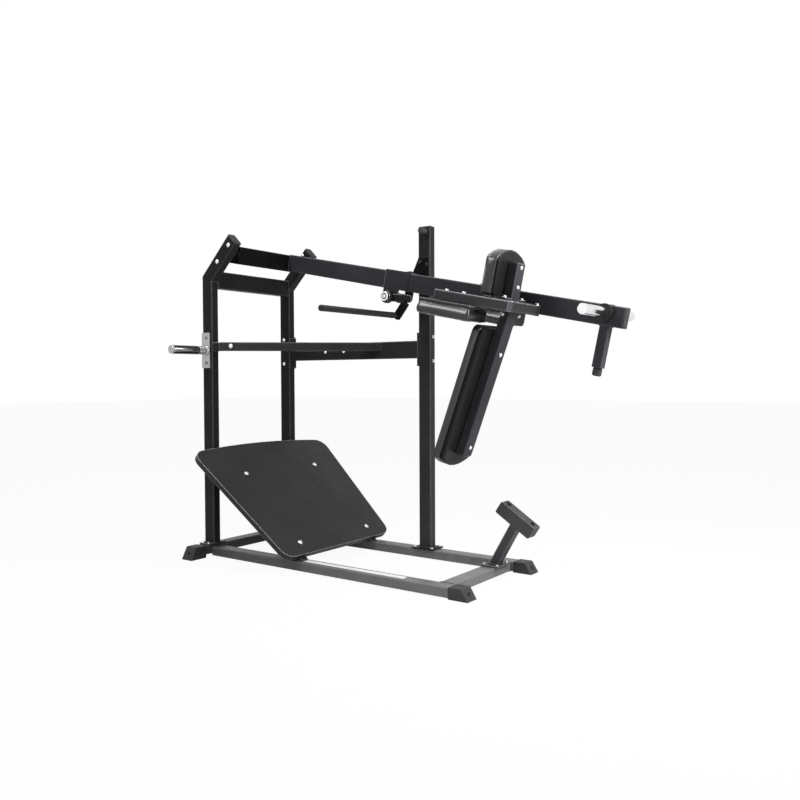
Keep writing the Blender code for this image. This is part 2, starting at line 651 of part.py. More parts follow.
def foot_plate():
    """The plate widens up its slope to an arched top edge; its supports run from the rails to the posts."""
    lower_end = Vector((FOOT_PLATE_LOW[0], MIDDLE_Y, FOOT_PLATE_LOW[1]))
    up_slope = Vector((-math.cos(FOOT_PLATE_ANGLE), 0, math.sin(FOOT_PLATE_ANGLE)))
    normal = Vector((math.sin(FOOT_PLATE_ANGLE), 0, math.cos(FOOT_PLATE_ANGLE)))
    turn = (0, math.pi + FOOT_PLATE_ANGLE, 0)
    tray = as_mesh(sheet("foot_plate", plate_outline(0), FOOT_PLATE_THICK, MACHINE,
                         lower_end - normal * FOOT_PLATE_THICK / 2, turn, DECK))
    hollow = as_mesh(sheet("foot_plate_hollow", plate_outline(FOOT_PLATE_SKIN), FOOT_PLATE_THICK, MACHINE,
                           lower_end - normal * (FOOT_PLATE_THICK / 2 + FOOT_PLATE_SKIN), turn))
    make_cutter(hollow)
    combine(tray, hollow, "DIFFERENCE")
    # The supports carry the tray on their upper faces
    line = lower_end - normal * (FOOT_PLATE_THICK + GAP + SUPPORT_DEPTH / 2)
    low = line + up_slope * ((RAIL_TOP + GAP - line.z) / up_slope.z)
    high = line + up_slope * ((TUBE_WIDE + GAP - line.x) / up_slope.x)
    slope = math.tan(FOOT_PLATE_ANGLE)
    cuts = {-1: lambda point: -point.z * slope, 1: lambda point: point.z / slope}
    size = ((high - low).length, SUPPORT_WIDTH, SUPPORT_DEPTH)
    for side, start_y in (("near", NEAR_RAIL_Y + TUBE_WIDE - SUPPORT_WIDTH), ("far", FAR_RAIL_Y)):
        middle = (high + low) / 2
        mitred_tube("foot_plate_support_" + side, size, 0, cuts, MACHINE,
                    (middle.x, start_y + SUPPORT_WIDTH / 2, middle.z), (0, FOOT_PLATE_ANGLE, 0))


# Bottom stop, placed where the arm's bumper comes down
def bottom_stop():
    cos_p = math.cos(BOTTOM_PITCH)
    sin_p = math.sin(BOTTOM_PITCH)
    meet = Vector((PIVOT_X + BUMPER_S * cos_p - BUMPER_TIP * sin_p, ARM_MIDDLE_Y,
                   PIVOT_Z - BUMPER_S * sin_p - BUMPER_TIP * cos_p))
    down_slope = Vector((cos_p, 0, -sin_p))
    normal = Vector((sin_p, 0, cos_p))
    length, width, height = STOP_BLOCK
    top = meet + down_slope * STOP_BLOCK_OFFSET - normal * SWING_GAP
    bm = box_mesh((length, width, height), 0.008, 1, 3)
    obj = add("stop_block", mesh_from(bm, "stop_block"), MACHINE, top - normal * height / 2,
              (0, BOTTOM_PITCH, 0), RUBBER)
    for index, way in enumerate((-1, 1)):
        hole = top + down_slope * way * STOP_HOLE_SPACING / 2
        tool = cutter("stop_hole_%d" % index, cylinder_mesh(STOP_HOLE_RADIUS, 2 * STOP_HOLE_DEPTH, 12),
                      MACHINE, hole, (0, BOTTOM_PITCH, 0))
        combine(obj, tool, "DIFFERENCE")
    # The post is cut level at its foot and to the block's underside at its head
    foot = Vector((REAR_TUBE_X + TUBE_WIDE / 2 + STOP_POST_OFFSET, ARM_MIDDLE_Y, RAIL_TOP + PLATE + 2 * GAP))
    lean = Vector((math.sin(STOP_POST_LEAN), 0, math.cos(STOP_POST_LEAN)))
    under = top - normal * (height + GAP)
    reach = (under - foot).dot(normal) / lean.dot(normal)
    level = math.tan(STOP_POST_LEAN)
    tilt = math.tan(BOTTOM_PITCH - STOP_POST_LEAN)
    cuts = {-1: lambda point: point.x * level, 1: lambda point: -point.x * tilt}
    mitred_tube("stop_post", (TUBE_NARROW, TUBE_NARROW, reach), 2, cuts, MACHINE,
                foot + lean * reach / 2, (0, STOP_POST_LEAN, 0))
    wide, deep = STOP_FLANGE
    block("stop_flange", (foot.x - wide / 2, foot.y - deep / 2, RAIL_TOP + GAP),
          (foot.x + wide / 2, foot.y + deep / 2, RAIL_TOP + GAP + PLATE))


# Swinging arm
def swinging_arm():
    half = PIVOT_TUBE / 2
    end_y = FRAME_SPAN - PIVOT_TUBE_START
    bm = box_mesh((PIVOT_TUBE, end_y - PIVOT_TUBE_START, PIVOT_TUBE), TUBE_CORNER, 1)
    bm.normal_update()
    open_end(bm, 1, -1)
    open_end(bm, 1, 1)
    obj = add("pivot_tube", mesh_from(bm, "pivot_tube"), ARM, (0, MIDDLE_Y, 0), (0, 0, 0), POWDER)
    solidify(obj, PIVOT_TUBE_WALL)
    stub = STUB_IN - TUBE_NARROW - GAP
    profile = [(0, stub), (SHAFT_RADIUS, stub), (SHAFT_RADIUS, 0), (STUB_DISC_RADIUS, 0),
               (STUB_DISC_RADIUS, -STUB_DISC), (0, -STUB_DISC)]
    turned("pivot_stub_near", profile, (0, STUB_IN, 0), ARM, (math.pi / 2, 0, 0), STEEL)
    turned("pivot_stub_far", profile, (0, FRAME_SPAN - STUB_IN, 0), ARM, ALONG_Y, STEEL)
    tube("main_arm", (half + GAP, ARM_Y, ARM_BOTTOM), (ARM_END, ARM_Y + ARM_WIDTH, ARM_TOP), 0, ARM, closed=(1,))
    cross_start = CROSS_TUBE_END - CROSS_TUBE_WIDE
    tube("shoulder_cross_tube", (cross_start, BEAM_Y + BEAM_WIDTH + GAP, BEAM_BOTTOM),
         (CROSS_TUBE_END, ARM_Y - GAP, SHOULDER_TOP), 1, ARM)
    tube("near_shoulder_beam", (BEAM_START, BEAM_Y, BEAM_BOTTOM),
         (CROSS_TUBE_END, BEAM_Y + BEAM_WIDTH, SHOULDER_TOP), 0, ARM, closed=(1,))
    for side, way, inner in (("near", -1, ARM_Y), ("far", 1, ARM_Y + ARM_WIDTH)):
        face = inner + way * GAP
        turn = (-way * math.pi / 2, 0, 0)
        collar = [(COLLAR_RADIUS, COLLAR_WIDTH), (COLLAR_RADIUS, 0), (HORN_RADIUS + BORE_GAP, 0),
                  (HORN_RADIUS + BORE_GAP, COLLAR_WIDTH)]
        turned("horn_collar_" + side, collar, (HORN_S, face, HORN_RISE), ARM, turn, RUBBER, ring=True)
        turned("weight_horn_" + side, peg_profile(HORN_RADIUS, HORN_LENGTH, 0.004),
               (HORN_S, face, HORN_RISE), ARM, turn, CHROME)
    low = ARM_BOTTOM - GAP - BUMPER_LENGTH
    side = TUBE_NARROW / 2
    tube("bumper_tube", (BUMPER_S - side, ARM_MIDDLE_Y - side, low),
         (BUMPER_S + side, ARM_MIDDLE_Y + side, ARM_BOTTOM - GAP), 2, ARM, closed=(-1,))
    turned("bumper_foot", peg_profile(BUMPER_FOOT_RADIUS, BUMPER_FOOT_LENGTH, 0.005),
           (BUMPER_S, ARM_MIDDLE_Y, low - GAP), ARM, (math.pi, 0, 0), RUBBER)


# Pads: each is a crowned cushion on its own board
def cushion_mesh(outline, rings):
    """A padded body from an outline, shrunk and lifted ring by ring from its back to its front."""
    centre = sum((Vector(p) for p in outline), Vector((0, 0))) / len(outline)
    reach_x = max(abs(p[0] - centre.x) for p in outline)
    reach_y = max(abs(p[1] - centre.y) for p in outline)
    bm = bmesh.new()
    loops = []
    for height, inset in rings:
        loop = []
        for point in outline:
            x = (point[0] - centre.x) * (1 - inset / reach_x) + centre.x
            y = (point[1] - centre.y) * (1 - inset / reach_y) + centre.y
            loop.append(bm.verts.new((x, y, height)))
        loops.append(loop)
    count = len(outline)
    for lower, upper in zip(loops, loops[1:]):
        for index in range(count):
            following = (index + 1) % count
            bm.faces.new((lower[index], lower[following], upper[following], upper[index]))
    bm.faces.new(list(reversed(loops[0])))
    bm.faces.new(loops[-1])
    return bm


def cushion(name, outline, rings, parent, location, rotation):
    obj = add(name, mesh_from(cushion_mesh(outline, rings), name, 60), parent, location, rotation, VINYL)
    return obj


def shoulder_pads():
    length, width, height = SHOULDER_PAD
    radius = 0.022
    drawn = 0.006       # how far the long sides pull in between the corners
    corners = rounded([(-length / 2, -width / 2), (length / 2, -width / 2), (length / 2, width / 2),
                       (-length / 2, width / 2)], [radius] * 4)
    outline = []
    for point in corners:
        pull = drawn * (1 - (2 * point.x / length) ** 2)
        outline.append((point.x, point.y * (1 - 2 * pull / width)))
    rings = [(0, 0.006), (0.004, 0.001), (height * 0.30, 0.0), (height * 0.62, 0.002), (height * 0.82, 0.010),
             (height * 0.94, 0.026), (height * 0.985, 0.045), (height, 0.070)]
    board_top = BEAM_BOTTOM - GAP
    pad_top = board_top - PAD_BOARD - GAP
    start = SHOULDER_PAD_START
    for side, middle in (("near", BEAM_MIDDLE_Y), ("far", ARM_MIDDLE_Y)):
        block("pad_board_" + side, (start + 0.004, middle - width / 2 + 0.006, board_top - PAD_BOARD),
              (start + length - 0.004, middle + width / 2 - 0.006, board_top), ARM, 0.003)
        cushion("shoulder_pad_" + side, outline, rings, ARM, (start + length / 2, middle, pad_top),
                (math.pi, 0, 0))


def panel_outline(width, length, corner, steps=5):
    """A pad's outline: square-shouldered at y = 0, with a low arch between shoulders at the other end."""
    half = width / 2
    points = [(-half, 0), (half, 0), (half, length - PAD_ARCH)]
    for step in range(1, 6):
        across = 1 - step / 3
        points.append((half * across, length - PAD_ARCH * across ** 2))
    points.append((-half, length - PAD_ARCH))
    return rounded(points, [corner, corner, PAD_SHOULDER] + [0] * 5 + [PAD_SHOULDER], steps)


def panel_rings(thick, seam):
    """Back shell, the groove of the seam and the crowned front of a two-part pad."""
    return [(0, 0.012), (0.006, 0.003), (seam * 0.6, 0.0), (seam - 0.003, 0.002), (seam, 0.007),
            (seam + 0.003, 0.002), (thick * 0.75, 0.0), (thick * 0.91, 0.003), (thick * 0.975, 0.010),
            (thick, 0.032)]


def head_and_back_pads():
    """The pads face the user, towards -s; their tubes stand on and hang from the cross tube."""
    half = TUBE_WIDE / 2
    tube_front = HEAD_PAD_FRONT + HEAD_PAD_THICK + GAP
    tube("head_pad_tube", (tube_front, MIDDLE_Y - half, SHOULDER_TOP + GAP),
         (tube_front + PAD_TUBE_DEPTH, MIDDLE_Y + half, SHOULDER_TOP + GAP + HEAD_TUBE_HEIGHT), 2, ARM,
         closed=(1,))
    outline = panel_outline(HEAD_PAD_WIDTH, HEAD_PAD_HEIGHT, 0.020)
    facing = Matrix(((0, 0, -1), (-1, 0, 0), (0, 1, 0))).to_euler()
    cushion("head_pad", outline, panel_rings(HEAD_PAD_THICK, HEAD_PAD_SEAM), ARM,
            (HEAD_PAD_FRONT + HEAD_PAD_THICK, MIDDLE_Y, HEAD_PAD_BOTTOM), facing)
    # The back pad and its tube hang at a lean of their own
    holder = empty("back_pad_line", (BACK_TUBE_TOP[0], MIDDLE_Y, BACK_TUBE_TOP[1]), ARM, BACK_TUBE_LEAN)
    slope = math.tan(BACK_TUBE_LEAN)
    cuts = {1: lambda point: (point.x - PAD_TUBE_DEPTH / 2) * slope}
    mitred_tube("back_pad_tube", (PAD_TUBE_DEPTH, TUBE_WIDE, BACK_TUBE_LENGTH), 2, cuts, holder,
                (-PAD_TUBE_DEPTH / 2, 0, -BACK_TUBE_LENGTH / 2), (0, 0, 0), closed=(-1,))
    hanging = Matrix(((0, 0, -1), (1, 0, 0), (0, -1, 0))).to_euler()
    outline = panel_outline(BACK_PAD_WIDTH, BACK_PAD_LENGTH, 0.035)
    cushion("back_pad", outline, panel_rings(BACK_PAD_THICK, BACK_PAD_SEAM), holder,
            (-PAD_TUBE_DEPTH - GAP, 0, -BACK_PAD_DROP), hanging)
    wide, tall = LUG
    lug_x = CROSS_TUBE_END - 0.086
    lug = rounded([(0, 0), (wide, 0), (wide, -tall), (0, -tall)], [0, 0, 0.020, 0.004])
    sheet("pad_lug", [(p.x, p.y) for p in lug], PLATE, ARM,
          (lug_x, MIDDLE_Y + half + GAP, BEAM_BOTTOM - GAP), (math.pi / 2, 0, math.pi / 2))


# Release lever: a saddle bracket on the arm, the shaft through it, the hand lever and the hook
def release_lever():
    inner = ARM_Y - GAP
    outer = ARM_Y + ARM_WIDTH + GAP
    top = ARM_TOP + GAP
    skin = BRACKET_SHEET
    profile = [(inner - skin, -BRACKET_DROP), (inner, -BRACKET_DROP), (inner, top), (outer, top),
               (outer, -BRACKET_DROP), (outer + skin, -BRACKET_DROP), (outer + skin, top + skin),
               (inner - skin, top + skin)]
    length = BRACKET_END - BRACKET_START
    facing = Matrix(((0, 0, 1), (1, 0, 0), (0, 1, 0))).to_euler()
    saddle = as_mesh(sheet("lever_bracket", profile, length, ARM,
                           ((BRACKET_START + BRACKET_END) / 2, 0, 0), facing))
    shaft_bore = cylinder_mesh(LEVER_SHAFT_RADIUS + BORE_GAP, 0.2)
    combine(saddle, cutter("lever_bore", shaft_bore, LEVER, (0, ARM_MIDDLE_Y, 0), ALONG_Y), "DIFFERENCE")
    # Under the arm the near leg is shorter, and the far leg has a window and a raised lower edge
    past = BRACKET_END + 0.01
    below = -BRACKET_DROP - 0.01
    under_arm = ARM_BOTTOM - GAP
    near_leg = inner - skin / 2
    far_leg = outer + skin / 2
    cuts = [(near_leg, NEAR_LEG_END, past, below, under_arm),
            (far_leg, FAR_WINDOW[0], FAR_WINDOW[1], under_arm - FAR_WINDOW[2], under_arm),
            (far_leg, FAR_LEG_STEP[0], past, below, -FAR_LEG_STEP[1])]
    for index, (leg_y, start, end, low, high) in enumerate(cuts):
        tool = cutter("leg_cut_%d" % index, box_mesh((end - start, 3 * skin, high - low)), ARM,
                      ((start + end) / 2, leg_y, (low + high) / 2))
        combine(saddle, tool, "DIFFERENCE")
    strap = box_mesh((TAB_START + TAB_LENGTH - BRACKET_END + 0.02, skin, TAB_THICK))
    strap_x = (TAB_START + TAB_LENGTH + BRACKET_END - 0.02) / 2
    combine(saddle, cutter("tab_strap", strap, ARM, (strap_x, outer + skin / 2, TAB_TOP - TAB_THICK / 2)),
            "UNION")
    tab = box_mesh((TAB_LENGTH, TAB_REACH, TAB_THICK))
    combine(saddle, cutter("tab", tab, ARM, (TAB_START + TAB_LENGTH / 2, outer + skin / 2 + TAB_REACH / 2,
                                             TAB_TOP - TAB_THICK / 2)), "UNION")
    saddle.data.materials.append(POWDER)
    # Shaft, with the boss at its near end and the hook at its far end
    hook_y = ARM_Y + ARM_WIDTH + HOOK_FROM_ARM
    plate_y = inner - skin - GAP - LEVER_PLATE
    boss_y = plate_y - GAP
    shaft_end = hook_y + HOOK_THICK + 0.006
    near_end = boss_y - LEVER_BOSS_WIDTH
    profile = [(0, shaft_end - near_end), (LEVER_SHAFT_RADIUS, shaft_end - near_end),
               (LEVER_SHAFT_RADIUS, LEVER_BOSS_WIDTH), (LEVER_BOSS_RADIUS, LEVER_BOSS_WIDTH),
               (LEVER_BOSS_RADIUS, 0.003), (LEVER_BOSS_RADIUS - 0.003, 0), (0, 0)]
    turned("lever_shaft", profile, (0, near_end, 0), LEVER, mat=STEEL)
    half = LEVER_PLATE_HEIGHT / 2
    centre_o = -0.004
    outline = rounded([(-half, centre_o - half), (LEVER_PLATE_LENGTH, centre_o - half),
                       (LEVER_PLATE_LENGTH, centre_o + half), (-half, centre_o + half)],
                      [half * 0.95, half * 0.9, half * 0.9, half * 0.95])
    raised = (Matrix.Rotation(-LEVER_PLATE_RISE, 3, "Y") @ Matrix.Rotation(math.pi / 2, 3, "X")).to_euler()
    plate = as_mesh(sheet("lever_plate", [(p.x, p.y) for p in outline], LEVER_PLATE, LEVER,
                          (0, plate_y + LEVER_PLATE / 2, 0), raised))
    plate_bore = cylinder_mesh(LEVER_SHAFT_RADIUS + BORE_GAP, 0.04)
    combine(plate, cutter("plate_bore", plate_bore, LEVER, (0, plate_y, 0), ALONG_Y), "DIFFERENCE")
    plate.data.materials.append(POWDER)
    # Lever tube, whose near face carries the handle bar
    tube_y = plate_y - GAP - LEVER_TUBE / 2
    top_at = Vector((LEVER_TUBE_TOP[0], tube_y, LEVER_TUBE_TOP[1]))
    low_at = Vector((HANDLE_AT[0], tube_y, HANDLE_AT[1]))
    run = top_at - low_at
    slant = math.atan2(run.x, run.z)
    bm = box_mesh((LEVER_TUBE, LEVER_TUBE, run.length + LEVER_TUBE), 0.005)
    add("lever_tube", mesh_from(bm, "lever_tube"), LEVER, (top_at + low_at) / 2, (0, slant, 0), POWDER)
    handle_start = tube_y - LEVER_TUBE / 2 - GAP
    grip = peg_profile(HANDLE_RADIUS, HANDLE_LENGTH, 0.006)
    turned("lever_handle", grip, (HANDLE_AT[0], handle_start, HANDLE_AT[1]), LEVER, (math.pi / 2, 0, 0), RUBBER)
    catch_hook(hook_y)


def catch_hook(hook_y):
    """The hook, drawn as it holds the pin and then turned back to the pose shown."""
    reach_x = CATCH_X - PIVOT_X
    reach_z = CATCH_Z - PIVOT_Z
    pin_s = reach_x * math.cos(ARM_PITCH) - reach_z * math.sin(ARM_PITCH) - LEVER_S
    pin_o = reach_x * math.sin(ARM_PITCH) + reach_z * math.cos(ARM_PITCH) - LEVER_O
    hold = CATCH_PIN_RADIUS + HOOK_CLEARANCE
    front = pin_s - hold
    under = pin_o + hold
    ring = HOOK_RING_RADIUS
    points = [(-ring, -ring), (ring, -ring), (front - 0.006, -0.004), (front, 0.040), (front, under),
              (pin_s + 0.012, under), (pin_s + 0.012, under + 0.022), (front - HOOK_WIDTH, under + 0.022),
              (front - HOOK_WIDTH, 0.020), (-ring, 0.026)]
    radii = [ring * 0.95, ring * 0.6, 0.006, 0.006, 0.004, 0.003, 0.008, 0.012, 0.005, 0.016]
    outline = [(p.x, p.y) for p in rounded(points, radii)]
    hook = as_mesh(sheet("catch_hook", outline, HOOK_THICK, LEVER, (0, hook_y + HOOK_THICK / 2, 0),
                         (math.pi / 2, 0, 0)))
    turned_back = Matrix.Rotation(-HOOK_CLEAR_ANGLE, 3, "Y") @ Matrix.Rotation(math.pi / 2, 3, "X")
    hook.rotation_euler = turned_back.to_euler()
    bore = cylinder_mesh(LEVER_SHAFT_RADIUS + BORE_GAP, 0.04)
    combine(hook, cutter("hook_bore", bore, LEVER, (0, hook_y + HOOK_THICK / 2, 0), ALONG_Y), "DIFFERENCE")
    hook.data.materials.append(POWDER)


floor_frame()
pivot_posts()
stop_tower()
diagonal_brace()
storage_horns()
foot_plate()
bottom_stop()
swinging_arm()
shoulder_pads()
head_and_back_pads()
release_lever()
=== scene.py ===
"""Looks of the pendulum squat machine: materials, pads, fasteners, caps, welds, camera and light.
Everything is placed in the machine's own frame (X, Y, Z from the near post's corner on the floor) or in
the arm's frame (s along the arm, Y across, o square to it, from the pivot)."""

import math

import bmesh
import bpy
from mathutils import Matrix, Vector, noise


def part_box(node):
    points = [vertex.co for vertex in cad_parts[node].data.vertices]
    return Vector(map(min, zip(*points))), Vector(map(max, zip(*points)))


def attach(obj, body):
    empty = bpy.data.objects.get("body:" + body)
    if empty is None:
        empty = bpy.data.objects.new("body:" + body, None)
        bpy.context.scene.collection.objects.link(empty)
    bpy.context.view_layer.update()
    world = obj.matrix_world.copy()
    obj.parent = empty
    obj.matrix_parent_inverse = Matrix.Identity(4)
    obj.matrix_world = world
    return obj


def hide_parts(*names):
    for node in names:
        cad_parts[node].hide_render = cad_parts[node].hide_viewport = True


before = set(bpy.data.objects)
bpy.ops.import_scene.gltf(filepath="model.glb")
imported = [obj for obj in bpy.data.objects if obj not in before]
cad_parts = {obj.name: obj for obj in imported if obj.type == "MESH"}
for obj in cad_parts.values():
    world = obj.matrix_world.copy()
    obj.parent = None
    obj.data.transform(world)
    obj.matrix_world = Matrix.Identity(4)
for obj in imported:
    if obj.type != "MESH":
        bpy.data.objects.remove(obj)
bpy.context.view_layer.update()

# Sizes shared with the solid model, in metres
FRAME_SPAN = 0.692
MIDDLE_Y = FRAME_SPAN / 2
ARM_PITCH = math.radians(11.66)
PIVOT = (0.176, 0.0, 1.742)
LEVER_AT = (0.853, 0.0, -0.090)
ARM_MIDDLE_Y = 0.520
ARM_TOP = 0.055
NEAR_BEAM_Y = 0.187
LUG_FACE = 1.6925
HEAD_TUBE_S = 1.6858
BUMPER_S = 2.118
BUMPER_TIP = 0.2853
BACK_TILT = math.radians(8.7)
POST_X = 0.040
POST_MIDDLES = (0.025, 0.667)
TOWER_X = 1.122
TOWER_TOP = 1.878
FLANGE_TOP = 0.0633
STOP_POST_X = 1.645
STORAGE_Z = 1.192
PLATE_ANGLE = math.radians(40.2)
PLATE_LOW = (0.762, 0.0905)
BOTTOM_PITCH = math.radians(33.37)

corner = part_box("pivot_post_near")[0]
MACHINE = Matrix.Translation((corner.x, corner.y, 0))
ARM = MACHINE @ Matrix.Translation(PIVOT) @ Matrix.Rotation(ARM_PITCH, 4, "Y")
LEVER = ARM @ Matrix.Translation(LEVER_AT)
# The back pad's tube, in the arm's frame: its own Z runs up the tube
BACK_TUBE = Matrix.Translation((1.7160, MIDDLE_Y, -0.0540)) @ Matrix.Rotation(BACK_TILT, 4, "Y")


# Materials
class Nodes:
    """Short names for building a node material on one Principled shader."""

    def __init__(self, name, colour, roughness, metallic=0.0, specular=0.5):
        self.mat = bpy.data.materials.new(name)
        self.mat.use_nodes = True
        self.tree = self.mat.node_tree
        self.shader = self.tree.nodes["Principled BSDF"]
        self.set("Base Color", (*colour, 1))
        self.set("Roughness", roughness)
        self.set("Metallic", metallic)
        self.set("Specular IOR Level", specular)
        self.where = self.tree.nodes.new("ShaderNodeTexCoord").outputs["Object"]
        self.bumped = None

    def set(self, socket, value):
        self.shader.inputs[socket].default_value = value

    def link(self, output, node_input):
        self.tree.links.new(output, node_input)

    def stretched(self, scale):
        mapping = self.tree.nodes.new("ShaderNodeMapping")
        mapping.inputs["Scale"].default_value = scale
        self.link(self.where, mapping.inputs["Vector"])
        return mapping.outputs["Vector"]

    def split(self, vector):
        node = self.tree.nodes.new("ShaderNodeSeparateXYZ")
        self.link(vector, node.inputs[0])
        return node.outputs

    def math(self, operation, first, second=None):
        node = self.tree.nodes.new("ShaderNodeMath")
        node.operation = operation
        for slot, value in enumerate((first, second)):
            if isinstance(value, (int, float)):
                node.inputs[slot].default_value = value
            elif value is not None:
                self.link(value, node.inputs[slot])
        return node.outputs[0]

    def edges(self, radius):
        """Rounds the shaded edges, and gives a mask of those that face up or out: where the powder coat
        paints its pale edge highlight.
        """
        soft = self.tree.nodes.new("ShaderNodeBevel")
        soft.samples = 4
        soft.inputs["Radius"].default_value = radius
        self.bumped = soft.outputs["Normal"]
        plain = self.tree.nodes.new("ShaderNodeNewGeometry").outputs["Normal"]
        dot = self.tree.nodes.new("ShaderNodeVectorMath")
        dot.operation = "DOT_PRODUCT"
        self.link(soft.outputs["Normal"], dot.inputs[0])
        self.link(plain, dot.inputs[1])
        painted_rim = self.ramp(dot.outputs["Value"], 0.995, 0.93, 0, 1)
        # Painted light: edges that face up get more of the highlight, as if lit from above.
        up = self.ramp(self.split(soft.outputs["Normal"])[2], -0.3, 0.6, 0.25, 1)
        # Noise patches break the painted highlight up like wear.
        wear_and_highlight = self.ramp(self.noise(55, 3), 0.3, 0.6, 0.55, 1)
        return self.math("MULTIPLY", self.math("MULTIPLY", painted_rim, up), wear_and_highlight)

    def noise(self, scale, detail=2.0, rough=0.5, vector=None):
        node = self.tree.nodes.new("ShaderNodeTexNoise")
        node.inputs["Scale"].default_value = scale
        node.inputs["Detail"].default_value = detail
        node.inputs["Roughness"].default_value = rough
        self.link(vector or self.where, node.inputs["Vector"])
        return node.outputs["Fac"]

    def voronoi(self, scale, feature="DISTANCE_TO_EDGE"):
        node = self.tree.nodes.new("ShaderNodeTexVoronoi")
        node.feature = feature
        node.inputs["Scale"].default_value = scale
        self.link(self.where, node.inputs["Vector"])
        return node.outputs["Distance"]

    def ramp(self, fac, low, high, first, last):
        node = self.tree.nodes.new("ShaderNodeMapRange")
        node.inputs["From Min"].default_value = low
        node.inputs["From Max"].default_value = high
        node.inputs["To Min"].default_value = first
        node.inputs["To Max"].default_value = last
        self.link(fac, node.inputs["Value"])
        return node.outputs["Result"]

    def mix(self, fac, first, last):
        node = self.tree.nodes.new("ShaderNodeMix")
        node.data_type = "RGBA"
        self.link(fac, node.inputs["Factor"])
        for slot, colour in ((6, first), (7, last)):
            if isinstance(colour, tuple):
                node.inputs[slot].default_value = (*colour, 1)
            else:
                self.link(colour, node.inputs[slot])
        return node.outputs[2]

    def colour(self, output):
        self.link(output, self.shader.inputs["Base Color"])

    def rough(self, output):
        self.link(output, self.shader.inputs["Roughness"])

    def bump(self, height, depth, strength=1.0):
        """Height in metres; several bumps add up."""
        node = self.tree.nodes.new("ShaderNodeBump")
        node.inputs["Distance"].default_value = depth
        node.inputs["Strength"].default_value = strength
        self.link(height, node.inputs["Height"])
        if self.bumped:
            self.link(self.bumped, node.inputs["Normal"])
        self.bumped = node.outputs["Normal"]
        self.link(self.bumped, self.shader.inputs["Normal"])
        return self


# pale: the colour that the painted light turns the tone towards.
def powder(name, low, high, roughness, specular, wear_and_highlight=0.16, painted_light=0.0, pale=(0.085, 0.085, 0.088), reach=2.2,
           start=0.15):
    """Satin powder coat: fine orange peel, faint cloudy tone, pale edges that are a painted highlight broken
    up like wear, and painted light that makes it paler towards the floor and the open end of the frame."""
    m = Nodes(name, high, roughness, specular=specular)
    tone = m.mix(m.ramp(m.noise(3.5, 3), 0.35, 0.65, 0, 1), low, high)
    # Painted light: the tone turns towards the pale colour low down and towards +X.
    if painted_light:
        place = m.split(m.where)
        low_down = m.ramp(place[2], reach, 0.0, 0, painted_light)
        amount = m.math("MULTIPLY", low_down, m.ramp(place[0], -1.2, 0.65, start, 1))
        amount = m.math("MULTIPLY", amount, m.ramp(m.noise(9, 4, 0.6), 0.3, 0.7, 0.85, 1.1))
        tone = m.mix(amount, tone, pale)
    # Pale edges: a painted highlight.
    m.colour(m.mix(m.edges(0.005), tone, (wear_and_highlight, wear_and_highlight, wear_and_highlight * 1.02)))
    m.rough(m.ramp(m.noise(28, 4), 0.3, 0.7, roughness - 0.05, roughness + 0.06))
    m.bump(m.noise(420, 2), 0.00025, 0.35)
    m.bump(m.noise(1500, 1), 0.00012, 0.30)
    return m.mat


def vinyl(name, low, high, roughness, gloss=1.0):
    """Padded vinyl: pebbled grain and soft creases under a clear glossy skin."""
    m = Nodes(name, high, roughness, specular=0.05)
    m.set("Coat Weight", gloss)
    m.set("Coat Roughness", 0.25)
    m.colour(m.mix(m.ramp(m.noise(9, 3), 0.35, 0.65, 0, 1), low, high))
    m.rough(m.ramp(m.noise(40, 4), 0.3, 0.7, roughness - 0.07, roughness + 0.09))
    m.bump(m.noise(16, 3, 0.6), 0.003, 0.20)
    m.bump(m.voronoi(620), 0.0003, 0.35)
    m.set("Sheen Weight", 0.04)
    m.set("Sheen Roughness", 0.5)
    return m.mat


def metal(name, colour, roughness, scale, painted_rim=None, near=0.30, far=0.75):
    """Bright metal with fine lines along one axis and faint smudges; it darkens towards its rims as a painted
    reflection of dark surroundings.
    """
    m = Nodes(name, colour, roughness, metallic=1.0)
    if painted_rim:
        # Painted reflection: the colour turns darker where the surface turns away from the view.
        weight = m.tree.nodes.new("ShaderNodeLayerWeight")
        weight.inputs["Blend"].default_value = 0.5
        m.colour(m.mix(m.ramp(weight.outputs["Facing"], near, far, 0, 1), colour, painted_rim))
    lines = m.noise(1.0, 3, 0.6, m.stretched(scale))
    m.rough(m.ramp(m.noise(24, 4), 0.3, 0.7, roughness - 0.04, roughness + 0.08))
    m.bump(lines, 0.0001, 0.25)
    return m.mat


def rubber(name, low, high, roughness, grain=700):
    """Dull rubber or plastic with a cloudy tone and a fine grain."""
    m = Nodes(name, high, roughness, specular=0.22)
    m.colour(m.mix(m.ramp(m.noise(14, 4), 0.35, 0.65, 0, 1), low, high))
    m.rough(m.ramp(m.noise(60, 3), 0.3, 0.7, roughness - 0.08, roughness + 0.08))
    m.bump(m.noise(grain, 2), 0.0004, 0.35)
    return m.mat


# After the two colours: roughness, specular, the paleness of the painted edge highlight, then the amount of
# painted light low down.
COAT = powder("coat_black", (0.0100, 0.0100, 0.0105), (0.0150, 0.0150, 0.0157), 0.34, 0.05, 0.42, 0.60)
COAT_DARK = powder("coat_dark", (0.0045, 0.0045, 0.0047), (0.0070, 0.0070, 0.0073), 0.36, 0.03, 0.10)
COAT_HEAD = powder("coat_arm", (0.0300, 0.0304, 0.0350), (0.0390, 0.0395, 0.0455), 0.32, 0.05, 0.40)
# A lighter copy of the black paint for the near shoulder beam and the stop post: painted light, with the
# painted edge highlight at full strength.
COAT_BEAM_LIT = powder("coat_beam_lit", (0.0520, 0.0520, 0.0560), (0.0660, 0.0660, 0.0710), 0.32, 0.05, 1.0)
# A lighter copy of the black paint for the lever plate: painted light, with the painted edge highlight at
# full strength.
COAT_LEVER_LIT = powder("coat_lever_lit", (0.0180, 0.0180, 0.0186), (0.0250, 0.0250, 0.0258), 0.34, 0.05, 1.0)
